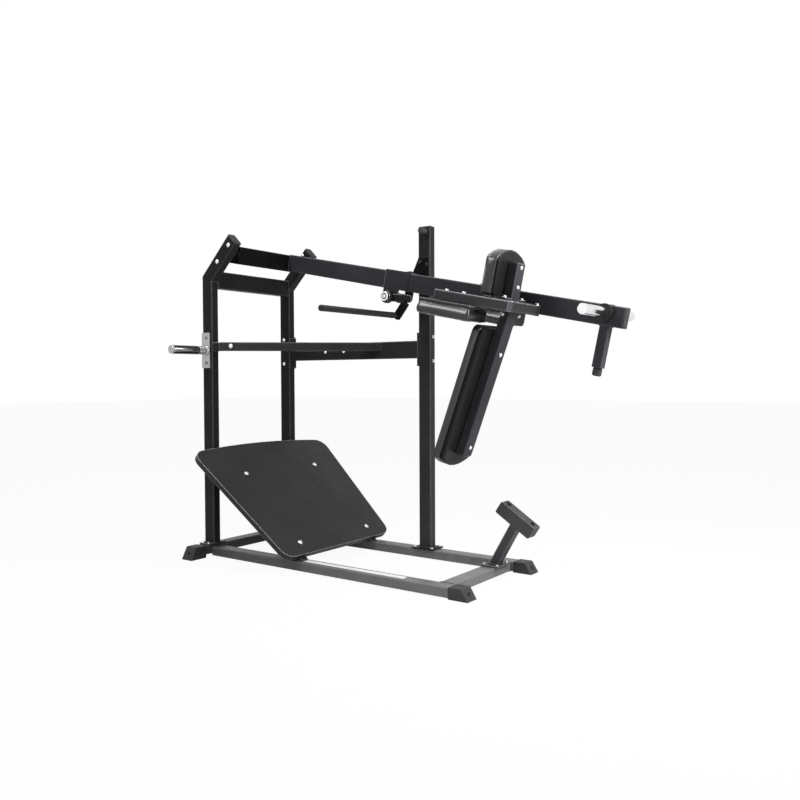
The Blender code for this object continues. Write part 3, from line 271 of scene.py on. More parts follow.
# The arm's paint with only a faint painted edge highlight.
COAT_BRACKET = powder("coat_bracket", (0.0280, 0.0284, 0.0325), (0.0370, 0.0375, 0.0430), 0.32, 0.05, 0.10)
# A lighter copy of the black paint for the base: painted light, with more painted light towards the floor and
# the open end in a near-white tone.
COAT_BASE_LIT = powder("coat_base_lit", (0.0270, 0.0270, 0.0280), (0.0370, 0.0370, 0.0380), 0.34, 0.10, 0.36, 0.74,
                   (0.24, 0.24, 0.245), 0.6, 0.40)
WELD = powder("coat_weld", (0.012, 0.012, 0.013), (0.018, 0.018, 0.019), 0.30, 0.25)
# The foot plate's paint; its pale rim is a painted highlight at full strength.
DECK = powder("coat_deck", (0.0230, 0.0230, 0.0240), (0.0310, 0.0310, 0.0322), 0.50, 0.15, 1.0)
PLASTIC = rubber("plastic_cap", (0.015, 0.015, 0.0155), (0.022, 0.022, 0.0225), 0.42, 900)
RUBBER = rubber("rubber_black", (0.032, 0.032, 0.033), (0.046, 0.046, 0.047), 0.58)
BLOCK = powder("rubber_block", (0.050, 0.050, 0.051), (0.066, 0.066, 0.067), 0.55, 0.12, 0.30)
GRIP = rubber("rubber_grip", (0.010, 0.010, 0.011), (0.016, 0.016, 0.017), 0.45, 500)
VINYL = vinyl("vinyl_black", (0.0090, 0.0092, 0.0110), (0.0145, 0.0148, 0.0172), 0.40)
VINYL_DARK = vinyl("vinyl_back", (0.0050, 0.0052, 0.0056), (0.0085, 0.0088, 0.0094), 0.40, 0.12)
# Piping much lighter than the pads' vinyl: a painted highlight along the seams.
PIPING_HIGHLIGHT = vinyl("vinyl_piping_highlight", (0.050, 0.050, 0.053), (0.075, 0.075, 0.079), 0.24)
# Last three arguments: the painted reflection's colour at the rims, and the facing range that it blends over.
CHROME = metal("chrome_polished", (0.94, 0.94, 0.955), 0.10, (60, 4, 60), (0.60, 0.60, 0.62), 0.45, 0.95)
PEG = metal("chrome_storage", (0.60, 0.60, 0.60), 0.12, (60, 4, 60), (0.07, 0.07, 0.072), 0.04, 0.24)
ZINC = metal("zinc_plated", (0.90, 0.90, 0.91), 0.20, (200, 200, 200), (0.30, 0.30, 0.31), 0.35, 0.8)
PLATED = metal("steel_plated", (0.42, 0.42, 0.42), 0.34, (90, 90, 900))
SCREW_PALE = metal("steel_screw", (0.22, 0.22, 0.22), 0.30, (200, 200, 200))
SCREW = metal("steel_dark", (0.035, 0.035, 0.037), 0.30, (200, 200, 200))
# Pale seam paint: partly a painted highlight.
SEAM_HIGHLIGHT = powder("coat_seam_highlight", (0.060, 0.060, 0.062), (0.110, 0.110, 0.113), 0.30, 0.25, 0.30)
# Near black for holes and bores: painted shade.
DARK = rubber("hole_painted_shade", (0.004, 0.004, 0.004), (0.006, 0.006, 0.006), 0.8)
STRIP = rubber("strip_pale", (0.82, 0.82, 0.83), (0.90, 0.90, 0.91), 0.45, 300)


# Mesh tools
def finish_piece(name, bm, mat, body, place, smooth=35):
    """Turn the mesh into a named piece that rides on a body."""
    bmesh.ops.recalc_face_normals(bm, faces=bm.faces)
    mesh = bpy.data.meshes.new(name)
    bm.to_mesh(mesh)
    bm.free()
    mesh.transform(place)
    mesh.materials.append(mat)
    mesh.shade_smooth()
    mesh.set_sharp_from_angle(angle=math.radians(smooth))
    obj = bpy.data.objects.new(name, mesh)
    bpy.context.scene.collection.objects.link(obj)
    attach(obj, body)
    return obj


def facing(point, normal, up=(0, 0, 1)):
    """A matrix at a point whose own Z is the normal."""
    z = Vector(normal).normalized()
    x = Vector(up).cross(z)
    if x.length < 1e-4:
        x = Vector((1, 0, 0)).cross(z)
    if x.length < 1e-4:
        x = Vector((0, 1, 0)).cross(z)
    x.normalize()
    y = z.cross(x)
    return Matrix.Translation(point) @ Matrix((x, y, z)).transposed().to_4x4()


def lathe(bm, profile, place=Matrix(), sides=32, turn=0.0):
    """Revolve a profile of (radius, height), from its lower middle round to its upper middle."""
    rings = []
    for radius, height in profile:
        if radius < 1e-7:
            rings.append([bm.verts.new(place @ Vector((0, 0, height)))])
            continue
        ring = []
        for step in range(sides):
            angle = turn + 2 * math.pi * step / sides
            point = Vector((radius * math.cos(angle), radius * math.sin(angle), height))
            ring.append(bm.verts.new(place @ point))
        rings.append(ring)
    for low, high in zip(rings, rings[1:]):
        for step in range(sides):
            following = (step + 1) % sides
            if len(low) == 1:
                bm.faces.new((low[0], high[step], high[following]))
            elif len(high) == 1:
                bm.faces.new((low[step], low[following], high[0]))
            else:
                bm.faces.new((low[step], low[following], high[following], high[step]))


def dome(radius, height, steps=5, start=0.0):
    """Profile of a low dome from its rim to its top."""
    return [(radius * math.cos(math.pi / 2 * k / steps), start + height * math.sin(math.pi / 2 * k / steps))
            for k in range(steps)] + [(0, start + height)]


def hex_bolt(bm, place, size=0.010):
    """A washer and a chamfered hexagon head, for a thread of the given size."""
    r = size * 1.05
    w = size * 0.2
    lathe(bm, [(0, 0), (r, 0), (r + 0.0004, w * 0.3), (r + 0.0004, w * 0.7), (r, w), (0, w)], place, 24)
    h = size * 0.62
    a = size * 0.96
    lathe(bm, [(0, w), (a, w), (a, w + h * 0.78), (a * 0.84, w + h), (0, w + h)], place, 6, 0.3)


def button_bolt(bm, place, size=0.010):
    """A domed head with a hexagon socket, on a thin washer."""
    r = size * 1.0
    w = size * 0.15
    lathe(bm, [(0, 0), (r * 1.12, 0), (r * 1.12, w), (0, w)], place, 24)
    profile = [(0, w), (r, w), (r, w + size * 0.10), (r * 0.93, w + size * 0.30), (r * 0.76, w + size * 0.46),
               (r * 0.50, w + size * 0.54), (r * 0.42, w + size * 0.54)]
    lathe(bm, profile, place, 24)
    lathe(bm, [(r * 0.42, w + size * 0.54), (r * 0.38, w + size * 0.22), (0, w + size * 0.22)], place, 24)


def rounded_outline(points, radii, steps=6):
    """The closed outline with an arc of the given radius at each corner."""
    result = []
    for index, (point, radius) in enumerate(zip(points, radii)):
        here = Vector(point)
        if not radius:
            result.append(here)
            continue
        before = (Vector(points[index - 1]) - here).normalized()
        after = (Vector(points[(index + 1) % len(points)]) - here).normalized()
        half = before.angle(after) / 2
        centre = here + (before + after).normalized() * radius / math.sin(half)
        start = here + before * radius / math.tan(half) - centre
        turn = start.angle_signed(here + after * radius / math.tan(half) - centre)
        result += [centre + Matrix.Rotation(-turn * step / steps, 2) @ start for step in range(steps + 1)]
    return result


def box_corners(width, depth):
    """The corners of a rectangle about the middle."""
    return [(x * width / 2, y * depth / 2) for x, y in ((-1, -1), (1, -1), (1, 1), (-1, 1))]


def divided(outline, longest=0.03):
    """The closed outline with its long runs split into short ones."""
    finer = []
    for index, point in enumerate(outline):
        following = outline[(index + 1) % len(outline)]
        steps = max(1, int((following - point).length / longest))
        finer += [point.lerp(following, k / steps) for k in range(steps)]
    return finer


def slab(bm, outline, rings, place=Matrix()):
    """A flat body from an outline; each ring gives a height and how far it is drawn in there."""
    count = len(outline)
    normals = []
    for index in range(count):
        run = (outline[(index + 1) % count] - outline[index - 1]).normalized()
        normals.append(Vector((-run.y, run.x)))
    area = sum(outline[i - 1].cross(outline[i]) for i in range(count))
    inward = 1 if area > 0 else -1
    loops = []
    for height, inset in rings:
        points = [p + n * inset * inward for p, n in zip(outline, normals)]
        loops.append([bm.verts.new(place @ Vector((p.x, p.y, height))) for p in points])
    for low, high in zip(loops, loops[1:]):
        for index in range(count):
            following = (index + 1) % count
            bm.faces.new((low[index], low[following], high[following], high[index]))
    bm.faces.new(list(reversed(loops[0])))
    bm.faces.new(loops[-1])


def sweep(bm, points, radius, closed=False, sides=8, ripple=0.0, pitch=0.004, place=Matrix()):
    """A round bead along points, with ripples if asked."""
    points = [Vector(p) for p in points]
    fine = []
    count = len(points)
    for index in range(count if closed else count - 1):
        first = points[index]
        last = points[(index + 1) % count]
        steps = max(1, int((last - first).length / 0.0018)) if ripple else 1
        fine += [first.lerp(last, k / steps) for k in range(steps)]
    if not closed:
        fine.append(points[-1])
    rings = []
    travelled = 0.0
    total = len(fine)
    normal = None
    for index, point in enumerate(fine):
        before = fine[index - 1] if index or closed else point
        after = fine[(index + 1) % total] if index < total - 1 or closed else point
        along = (after - before).normalized()
        if normal is None:
            normal = along.orthogonal().normalized()
        normal = (normal - along * normal.dot(along)).normalized()
        across = along.cross(normal)
        if index:
            travelled += (point - fine[index - 1]).length
        size = radius * (1 + ripple * math.sin(2 * math.pi * travelled / pitch) + ripple * 0.5
                         * noise.noise(point * 60))
        rings.append([bm.verts.new(place @ (point + (normal * math.cos(a) + across * math.sin(a)) * size))
                      for a in (2 * math.pi * k / sides for k in range(sides))])
    pairs = list(zip(rings, rings[1:]))
    if closed:
        pairs.append((rings[-1], rings[0]))
    for low, high in pairs:
        for k in range(sides):
            following = (k + 1) % sides
            bm.faces.new((low[k], low[following], high[following], high[k]))
    if not closed:
        bm.faces.new(list(reversed(rings[0])))
        bm.faces.new(rings[-1])


def paint(mat, *nodes):
    """Give a material to the solids that are shown as they are."""
    for node in nodes:
        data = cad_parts[node].data
        data.materials.clear()
        data.materials.append(mat)
        data.shade_smooth()
        data.set_sharp_from_angle(angle=math.radians(30))


# Carried-over solids
paint(COAT, "pivot_post_near", "pivot_post_far", "head_beam", "stop_tower", "tie_bar", "tie_flange_post",
      "tie_flange_tower", "foot_plate_support_near", "foot_plate_support_far", "brace_lug",
      "shoulder_cross_tube", "stop_flange")
paint(COAT_DARK, "tower_base", "catch_plate", "lever_tube", "catch_hook", "pivot_tube", "bearing_near",
      "bearing_far", "pivot_stub_near", "pivot_stub_far", "catch_pin")
paint(COAT_BASE_LIT, "front_cross_tube", "near_side_rail", "far_side_rail", "rear_cross_tube", "post_base_near",
      "post_base_far", "diagonal_brace")
paint(COAT_HEAD, "main_arm", "bumper_tube", "head_pad_tube", "back_pad_tube", "pad_lug",
      "pad_board_near", "pad_board_far")
paint(COAT_BEAM_LIT, "near_shoulder_beam", "stop_post")
paint(COAT_LEVER_LIT, "lever_plate")
paint(COAT_BRACKET, "lever_bracket")
paint(RUBBER, "foot_front_near", "foot_front_far", "foot_rear_near", "foot_rear_far", "top_buffer",
      "bumper_foot")
paint(BLOCK, "stop_block")
paint(GRIP, "horn_collar_near", "horn_collar_far")
paint(CHROME, "weight_horn_near", "weight_horn_far")
paint(PLATED, "storage_horn_near", "storage_horn_far")
paint(GRIP, "lever_handle", "lever_shaft")
paint(DECK, "foot_plate")


# Pads
def loft_pad(outline, rings):
    """A stuffed body's starting mesh, in an object of its own."""
    bm = bmesh.new()
    slab(bm, outline, rings)
    mesh = bpy.data.meshes.new("pad_start")
    bm.to_mesh(mesh)
    bm.free()
    obj = bpy.data.objects.new("pad_start", mesh)
    bpy.context.scene.collection.objects.link(obj)
    return obj


def applied(obj):
    """The object's mesh with its modifiers applied."""
    bpy.context.view_layer.update()
    seen = obj.evaluated_get(bpy.context.evaluated_depsgraph_get())
    mesh = bpy.data.meshes.new_from_object(seen)
    obj.modifiers.clear()
    old = obj.data
    obj.data = mesh
    bpy.data.meshes.remove(old)


def inflate(obj, voxel, pressure, cap, back):
    """Remesh the pad and let a light pressure crown its cover; points stay within a cap, and those
    within the back plane stay put."""
    remesh = obj.modifiers.new("remesh", "REMESH")
    remesh.mode = "VOXEL"
    remesh.voxel_size = voxel
    applied(obj)
    rest = [v.co.copy() for v in obj.data.vertices]
    cloth = obj.modifiers.new("cover", "CLOTH")
    cloth.settings.use_pressure = True
    cloth.settings.uniform_pressure_force = pressure
    cloth.settings.tension_stiffness = 25
    cloth.settings.compression_stiffness = 25
    cloth.settings.bending_stiffness = 2
    cloth.settings.effector_weights.gravity = 0
    cloth.point_cache.frame_start = 1
    cloth.point_cache.frame_end = 12
    for step in range(1, 13):
        bpy.context.scene.frame_set(step)
    applied(obj)
    bpy.context.scene.frame_set(1)
    for vert, start in zip(obj.data.vertices, rest):
        move = vert.co - start
        limit = cap * min(1.0, max(0.0, (start.z - back) / 0.02))
        if move.length > limit:
            move = move.normalized() * limit
        vert.co = start + move
    smooth = obj.modifiers.new("smooth", "SMOOTH")
    smooth.factor = 0.5
    smooth.iterations = 4
    subdivide = obj.modifiers.new("subdivide", "SUBSURF")
    subdivide.levels = 1
    subdivide.render_levels = 1
    applied(obj)


def make_pad(name, outline, bodies, place, node, seams, uprights=()):
    """A pad of one or more stuffed bodies in one object, with raised seams round its outline and up its
    corners, in a much lighter vinyl as a painted highlight."""
    made = []
    for rings, part_mat, cap in bodies:
        obj = loft_pad(outline, rings)
        inflate(obj, 0.005, 2.5, cap, rings[0][0])
        obj.data.materials.clear()
        obj.data.materials.append(part_mat)
        obj.data.shade_smooth()
        obj.data.transform(place)
        made.append(obj)
    bm = bmesh.new()
    for height, inset, radius in seams:
        line = []
        count = len(outline)
        for index in range(count):
            run = (outline[(index + 1) % count] - outline[index - 1]).normalized()
            point = outline[index] + Vector((-run.y, run.x)) * inset
            line.append((point.x, point.y, height))
        sweep(bm, line, radius, closed=True, sides=6)
    for line in uprights:
        sweep(bm, line, 0.0015, sides=6)
    if seams:
        mesh = bpy.data.meshes.new("seams")
        bmesh.ops.recalc_face_normals(bm, faces=bm.faces)
        bm.to_mesh(mesh)
        mesh.transform(place)
        mesh.materials.append(PIPING_HIGHLIGHT)
        mesh.shade_smooth()
        seam = bpy.data.objects.new("seams", mesh)
        bpy.context.scene.collection.objects.link(seam)
        made.append(seam)
    bm.free()
    with bpy.context.temp_override(active_object=made[0], selected_editable_objects=made):
        bpy.ops.object.join()
    pad = made[0]
    pad.name = name
    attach(pad, "arm")
    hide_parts(node)
    return pad


def pads():
    # Shoulder pads, drawn from the board down
    length, width, height = 0.303, 0.185, 0.066
    finer = divided(rounded_outline(box_corners(length, width), [0.011] * 4))
    outline = [Vector((p.x, p.y * (1 - 0.05 * (1 - (2 * p.x / length) ** 2)))) for p in finer]
    rings = [(0.001, 0.0160), (0.0035, 0.0110), (0.008, 0.0086), (0.016, 0.0054), (0.026, 0.0023),
             (0.036, 0.0006), (0.046, 0.0002), (0.055, 0.0036), (0.061, 0.0095), (0.064, 0.0200),
             (0.0652, 0.0440)]
    bodies = [(rings, VINYL, 0.001)]
    seams = [(0.0030, 0.0106, 0.0015), (0.0590, 0.0062, 0.0016)]
    # Seams up the pad's corners, lighter than the vinyl as a painted highlight.
    corner_seam = ((0.004, 0.0098), (0.016, 0.0052), (0.028, 0.0019), (0.044, 0.0004), (0.058, 0.005))
    uprights = [[(sx * (length / 2 - 0.0032 - inset), sy * (width / 2 - 0.0032 - inset), z)
                 for z, inset in corner_seam] for sx in (-1, 1) for sy in (-1, 1)]
    for side, middle in (("near", NEAR_BEAM_Y), ("far", ARM_MIDDLE_Y)):
        hung = Matrix.Translation((1.312 + length / 2, middle, -0.0646))
        place = ARM @ hung @ Matrix.Rotation(math.pi, 4, "X")
        make_pad("shoulder_cushion_" + side, outline, bodies, place, "shoulder_pad_" + side, seams, uprights)
    # Head pad: a thick front cushion on a thinner back one
    outline = panel(0.276, 0.236, 0.020)
    turned = Matrix(((0, 0, -1), (-1, 0, 0), (0, 1, 0))).to_4x4()
    place = ARM @ Matrix.Translation((1.6605, MIDDLE_Y, 0.004)) @ turned
    back = [(0.001, 0.012), (0.0025, 0.006), (0.006, 0.001), (0.010, 0.002)]
    front = [(0.0125, 0.007), (0.0145, 0.002), (0.020, 0.0), (0.055, 0.0), (0.066, 0.0015), (0.071, 0.0045),
             (0.074, 0.0110), (0.0752, 0.026)]
    make_pad("head_cushion", outline, [(back, VINYL_DARK, 0.001), (front, VINYL, 0.002)], place, "head_pad",
             [(0.0148, 0.0010, 0.0016), (0.069, 0.0018, 0.0015)])
    # Back pad
    outline = panel(0.300, 0.737, 0.035)
    turned = Matrix(((0, 0, -1), (1, 0, 0), (0, -1, 0))).to_4x4()
    place = ARM @ BACK_TUBE @ Matrix.Translation((-0.0503, 0, -0.100)) @ turned
    back = [(0.001, 0.018), (0.003, 0.008), (0.007, 0.002), (0.014, 0.001), (0.018, 0.004)]
    front = [(0.0205, 0.006), (0.0235, 0.001), (0.044, 0.0), (0.057, 0.0015), (0.0625, 0.0055),
             (0.0648, 0.013), (0.0658, 0.028)]
    make_pad("back_cushion", outline, [(back, VINYL_DARK, 0.002), (front, VINYL, 0.003)], place, "back_pad",
             [(0.058, 0.0022, 0.0016)])


def panel(width, length, corner):
    """Outline of the head or back pad: straight sides, an arched top and rounded corners."""
    half = width / 2
    arch = 0.048
    points = [(-half, 0), (half, 0), (half, length - arch)]
    for step in range(1, 6):
        across = 1 - step / 3
        points.append((half * across, length - arch * across ** 2))
    points.append((-half, length - arch))
    return divided(rounded_outline(points, [corner, corner, 0.032] + [0.06] * 5 + [0.032], 6))


pads()


# Fasteners, grouped by the body that they ride on
def plate_point(t, y, lift=0.0):
    """A point on the foot plate's face, at a distance up its slope from its lower end."""
    up = Vector((-math.cos(PLATE_ANGLE), 0, math.sin(PLATE_ANGLE)))
    normal = Vector((math.sin(PLATE_ANGLE), 0, math.cos(PLATE_ANGLE)))
    return Vector((PLATE_LOW[0], y, PLATE_LOW[1])) + up * t + normal * lift, normal


def fasteners():
    """Bolts, screws, storage sleeves and the head tube's flange."""
    bm = bmesh.new()
    for t in (0.078, 0.615):
        for y in (0.056, 0.636):
            point, normal = plate_point(t, y)
            button_bolt(bm, facing(point, normal), 0.0125)
    finish_piece("foot_plate_bolts", bm, ZINC, "frame", MACHINE)

    bm = bmesh.new()
    near = (0, -1, 0)
    for x, z in ((0.224, 1.782), (0.130, 1.697)):
        button_bolt(bm, facing((x, 0, z), near), 0.0115)
        button_bolt(bm, facing((x, FRAME_SPAN, z), (0, 1, 0)), 0.0115)
    button_bolt(bm, facing((0.199, 0.642, 1.8015), near), 0.0105)
    for x, z in ((0.034, 1.275), (0.034, 1.121), (0.385, 1.190), (0.531, 1.190)):
        button_bolt(bm, facing((x, 0.642, z), near), 0.0095)
    button_bolt(bm, facing((0.204, 0.029, 1.214), near), 0.0125)
    for z in (1.260, 1.124):
        hex_bolt(bm, facing((TOWER_X + 0.040, 0.672, z), (1, 0, 0)), 0.0095)
        hex_bolt(bm, facing((TOWER_X - 0.048, POST_MIDDLES[1], z), (-1, 0, 0)), 0.008)
    for x in (TOWER_X - 0.056, TOWER_X + 0.056):
        for y in (POST_MIDDLES[1] - 0.040, POST_MIDDLES[1] + 0.040):
            hex_bolt(bm, facing((x, y, FLANGE_TOP), (0, 0, 1)), 0.009)
    for middle in POST_MIDDLES:
        for y in (-0.050, 0.050):
            for x in (POST_X - 0.022, POST_X + 0.022):
                hex_bolt(bm, facing((x, middle + y, FLANGE_TOP + 0.012), (0, 0, 1)), 0.008)
    for x in (STOP_POST_X - 0.038, STOP_POST_X + 0.038):
        for y in (ARM_MIDDLE_Y - 0.050, ARM_MIDDLE_Y + 0.050):
            hex_bolt(bm, facing((x, y, FLANGE_TOP), (0, 0, 1)), 0.008)
    finish_piece("frame_bolts", bm, ZINC, "frame", MACHINE)

    bm = bmesh.new()
    button_bolt(bm, facing((1.145, 0.6317, 1.664), near), 0.010)
    button_bolt(bm, facing((1.138, 0.642, 1.837), near), 0.010)
    # A dark collar near the foot of the catch plate
    boss = [(0, 0), (0.0135, 0), (0.0135, 0.006), (0.0122, 0.008), (0.0070, 0.008), (0.0066, 0.004),
            (0, 0.004)]
    lathe(bm, boss, facing((1.101, 0.6317, 1.683), near), 28)
    finish_piece("catch_plate_bolts", bm, SCREW, "frame", MACHINE)

    bm = bmesh.new()
    storage = ((0.033, -0.0083, near), (0.047, FRAME_SPAN + 0.0083, (0, 1, 0)))
    for x, face, normal in storage:
        for z in (STORAGE_Z - 0.073, STORAGE_Z + 0.072):
            button_bolt(bm, facing((x + 0.006, face, z), normal), 0.0085)
    finish_piece("storage_screws", bm, SCREW_PALE, "frame", MACHINE)
    # Polished sleeves over the storage bars, and a bead where they meet their plates
    bm = bmesh.new()
    beads = bmesh.new()
    sleeve = [(0.0238, 0.060), (0.0246, 0.0602), (0.0246, 0.236), (0.0240, 0.2375), (0.0215, 0.2395),
              (0.0210, 0.2395)]
    bead = [(0.0236, 0.0), (0.0300, 0.0), (0.0290, 0.004), (0.0262, 0.007), (0.0236, 0.008)]
    for x, face, normal in storage:
        place = facing((x, face, STORAGE_Z), normal)
        lathe(bm, sleeve, place, 40)
        lathe(beads, bead, place, 40)
    finish_piece("storage_sleeves", bm, PEG, "frame", MACHINE)
    finish_piece("storage_beads", beads, PLATED, "frame", MACHINE)

    bm = bmesh.new()
    up = (0, 0, 1)
    for s in (1.416, 1.515):
        hex_bolt(bm, facing((s, NEAR_BEAM_Y, -0.002), up), 0.0095)
    for s, y, size in ((1.688, 0.272, 0.0125), (1.702, 0.424, 0.010)):
        hex_bolt(bm, facing((s, y, 0.0110), up), size)
    hex_bolt(bm, facing((1.762, 0.480, -0.002), up), 0.0110)
    for o in (0.160, 0.065):
        button_bolt(bm, facing((1.7108, MIDDLE_Y, o), (1, 0, 0)), 0.011)
    hex_bolt(bm, facing((LUG_FACE, 0.440, -0.070), (1, 0, 0)), 0.010)
    hex_bolt(bm, facing((1.6745, 0.3056, -0.069), near), 0.011)
    for s in (1.40, 1.55):
        hex_bolt(bm, facing((s, ARM_MIDDLE_Y, ARM_TOP), up), 0.009)
    for z in (-0.2185, -0.7122):
        button_bolt(bm, BACK_TUBE @ facing((0, 0, z), (1, 0, 0)), 0.010)
    finish_piece("arm_bolts", bm, ZINC, "arm", ARM)
    # Thin flange under the head tube, with a notch round the tube
    bm = bmesh.new()
    for low, high in ((0.250, 0.3055), (0.3865, 0.448)):
        corners = [(1.6640, low), (1.7130, low), (1.7130, high), (1.6640, high)]
        rings = [(-0.0016, 0.0003), (-0.0010, 0), (0.0100, 0), (0.0109, 0.0010)]
        slab(bm, rounded_outline(corners, [0.005] * 4, 3), rings)
    finish_piece("head_tube_flange", bm, COAT_HEAD, "arm", ARM)


fasteners()


# Caps, collars and trims
def end_cap(bm, width, depth, place):
    """A plastic plug: a thin flange with a domed face."""
    rings = [(0.0, 0.0003), (0.0022, 0.0), (0.0036, 0.0012), (0.0044, 0.004), (0.0047, 0.010)]
    slab(bm, rounded_outline(box_corners(width, depth), [0.007] * 4, 4), rings, place)


def caps():
    """Plastic plugs in the open ends of the tubes."""
    bm = bmesh.new()
    lean = Vector((math.sin(math.pi / 4), 0, math.cos(math.pi / 4)))
    top = Vector((0, 0, 1.622)) + lean * 0.311 + Vector((lean.z, 0, -lean.x)) * 0.040
    for y in POST_MIDDLES:
        end_cap(bm, 0.050, 0.080, facing((top.x, y, top.z), lean, (1, 0, 0)))
    end_cap(bm, 0.050, 0.080, facing((TOWER_X, POST_MIDDLES[1], TOWER_TOP), (0, 0, 1), (1, 0, 0)))
    finish_piece("frame_caps", bm, PLASTIC, "frame", MACHINE)
    bm = bmesh.new()
    end_cap(bm, 0.060, 0.100, facing((2.205, ARM_MIDDLE_Y, 0.005), (1, 0, 0)))
    end_cap(bm, 0.050, 0.050, facing((1.362, NEAR_BEAM_Y, -0.027), (-1, 0, 0)))
    end_cap(bm, 0.080, 0.050, facing((HEAD_TUBE_S, MIDDLE_Y, 0.1803), (0, 0, 1), (1, 0, 0)))
    end_cap(bm, 0.080, 0.050, BACK_TUBE @ facing((-0.025, 0, -0.757), (0, 0, -1), (1, 0, 0)))
    finish_piece("arm_caps", bm, PLASTIC, "arm", ARM)


caps()


def lever_trim():
    """The lever shaft's cap, ring, screw and nut, and the grip's rounded end."""
    bm = bmesh.new()
    # From the arm's near face outwards: the bracket, the lever plate and the boss, each after a gap
    near_end = 0.490 - 0.0003 - 0.005 - 0.0003 - 0.010 - 0.0003 - 0.022
    place = facing((0, near_end, 0), (0, -1, 0))
    lathe(bm, [(0.0170, 0.0120), (0.0260, 0.0120), (0.0260, 0.0155), (0.0252, 0.0172), (0.0235, 0.0180),
               (0.0180, 0.0180), (0.0170, 0.0172), (0.0170, 0.0120)], place, 40)
    lathe(bm, [(0.0285, 0.0010), (0.0302, 0.0010), (0.0302, 0.0040), (0.0294, 0.0050), (0.0286, 0.0040),
               (0.0285, 0.0010)], place, 40)
    finish_piece("lever_shaft_cap", bm, ZINC, "lever", LEVER)
    bm = bmesh.new()
    lathe(bm, [(0, 0), (0.0284, 0), (0.0284, 0.0025), (0.0240, 0.0035), (0.0240, 0.0125), (0.0169, 0.0150),
               (0, 0.0150)], place, 40)
    finish_piece("lever_shaft_ring", bm, SCREW, "lever", LEVER)
    bm = bmesh.new()
    lathe(bm, [(0, 0.0151), (0.0125, 0.0151), (0.0125, 0.0185), (0.0110, 0.0200), (0.0065, 0.0200),
               (0.0060, 0.0160), (0, 0.0160)], place, 6, 0.2)
    finish_piece("lever_shaft_screw", bm, ZINC, "lever", LEVER)
    bm = bmesh.new()
    far = 0.55 + 0.024 + 0.012 + 0.006
    nut = [(0, 0), (0.017, 0), (0.017, 0.004), (0.0155, 0.006), (0, 0.006)]
    lathe(bm, nut, facing((0, far, 0), (0, 1, 0)), 6)
    finish_piece("lever_shaft_nut", bm, ZINC, "lever", LEVER)
    # Rounded end of the grip and the ring where it starts
    bm = bmesh.new()
    start = 0.4385 - 0.0006
    tip = start - 0.620
    at = (0.0975, -0.0927)
    lathe(bm, dome(0.0163, 0.010), facing((at[0], tip + 0.001, at[1]), (0, -1, 0)), 28)
    lathe(bm, [(0.0160, 0), (0.0172, 0.001), (0.0174, 0.006), (0.0172, 0.011), (0.0160, 0.012)],
          facing((at[0], start - 0.030, at[1]), (0, -1, 0)), 28)
    finish_piece("lever_grip_end", bm, GRIP, "lever", LEVER)


lever_trim()


def foot_trim():
    """Bolt holes in the shoes' sloped faces, shown as near-black discs of painted shade, and near-black bores
    with screws in the stop block, also painted shade.
    """
    bm = bmesh.new()
    holes = bmesh.new()
    slope = math.atan2(0.037, 0.058)
    for tip, out, height in (((POST_X, -0.170, 0), (0, -1, 0), 0.070), ((POST_X, 0.862, 0), (0, 1, 0), 0.070),
                             ((1.800, POST_MIDDLES[0], 0), (1, 0, 0), 0.058),
                             ((1.800, POST_MIDDLES[1], 0), (1, 0, 0), 0.058)):
        normal = Vector(out) * math.cos(slope) + Vector((0, 0, math.sin(slope)))
        centre = Vector(tip) + (Vector(out) * -0.037 + Vector((0, 0, height))) * 0.52
        place = facing(centre, normal)
        lathe(bm, [(0.0085, 0.0), (0.0125, 0.0), (0.0130, 0.0012), (0.0115, 0.0020), (0.0095, 0.0016),
                   (0.0085, 0.0)], place, 28)
        # A near-black disc a hair above the face: painted shade for the hole's depth.
        lathe(holes, [(0, 0.0006), (0.0088, 0.0006), (0.0088, 0.0001), (0, 0.0001)], place, 28)
    finish_piece("shoe_hole_rims", bm, RUBBER, "frame", MACHINE)
    finish_piece("shoe_holes", holes, DARK, "frame", MACHINE)
    bm = bmesh.new()
    cos_p = math.cos(BOTTOM_PITCH)
    sin_p = math.sin(BOTTOM_PITCH)
    top = Vector((PIVOT[0] + BUMPER_S * cos_p - BUMPER_TIP * sin_p, ARM_MIDDLE_Y,
                  PIVOT[2] - BUMPER_S * sin_p - BUMPER_TIP * cos_p))
    down = Vector((cos_p, 0, -sin_p))
    normal = Vector((sin_p, 0, cos_p))
    top += down * 0.006 - normal * 0.002
    for way in (-1, 1):
        centre = top + down * way * 0.080
        # Each bore and its screw in near black: painted shade.
        lathe(bm, [(0, -0.0195), (0.0086, -0.0195), (0.0086, -0.0010), (0.0110, 0.0003), (0.0135, 0.0003),
                   (0.0140, 0.0008), (0.0120, 0.0011), (0.0080, 0.0006), (0.0080, -0.0130), (0, -0.0130)],
              facing(centre, normal), 24)
    finish_piece("stop_block_screws", bm, DARK, "frame", MACHINE)
    # A pale bead along the block's near top edge: a painted highlight of that edge.
    bm = bmesh.new()
    near_edge = top + Vector((0, -0.0307, 0)) - normal * 0.0028
    sweep(bm, [near_edge - down * 0.101, near_edge + down * 0.101], 0.0030)
    finish_piece("stop_block_highlight", bm, PLATED, "frame", MACHINE)


foot_trim()


def rail_strip():
    """A plain pale strip along the near rail."""
    bm = bmesh.new()
    corners = [(0.770, 0.006), (1.420, 0.006), (1.420, 0.046), (0.770, 0.046)]
    slab(bm, rounded_outline(corners, [0.004] * 4, 3), [(0.0551, 0), (0.0556, 0.0002)])
    finish_piece("rail_strip", bm, STRIP, "frame", MACHINE)


rail_strip()


def rectangle(centre, across, along, half_a, half_b):
    """Corner points of a rectangle about a centre."""
    a = Vector(across) * half_a
    b = Vector(along) * half_b
    c = Vector(centre)
    return [c - a - b, c + a - b, c + a + b, c - a + b]


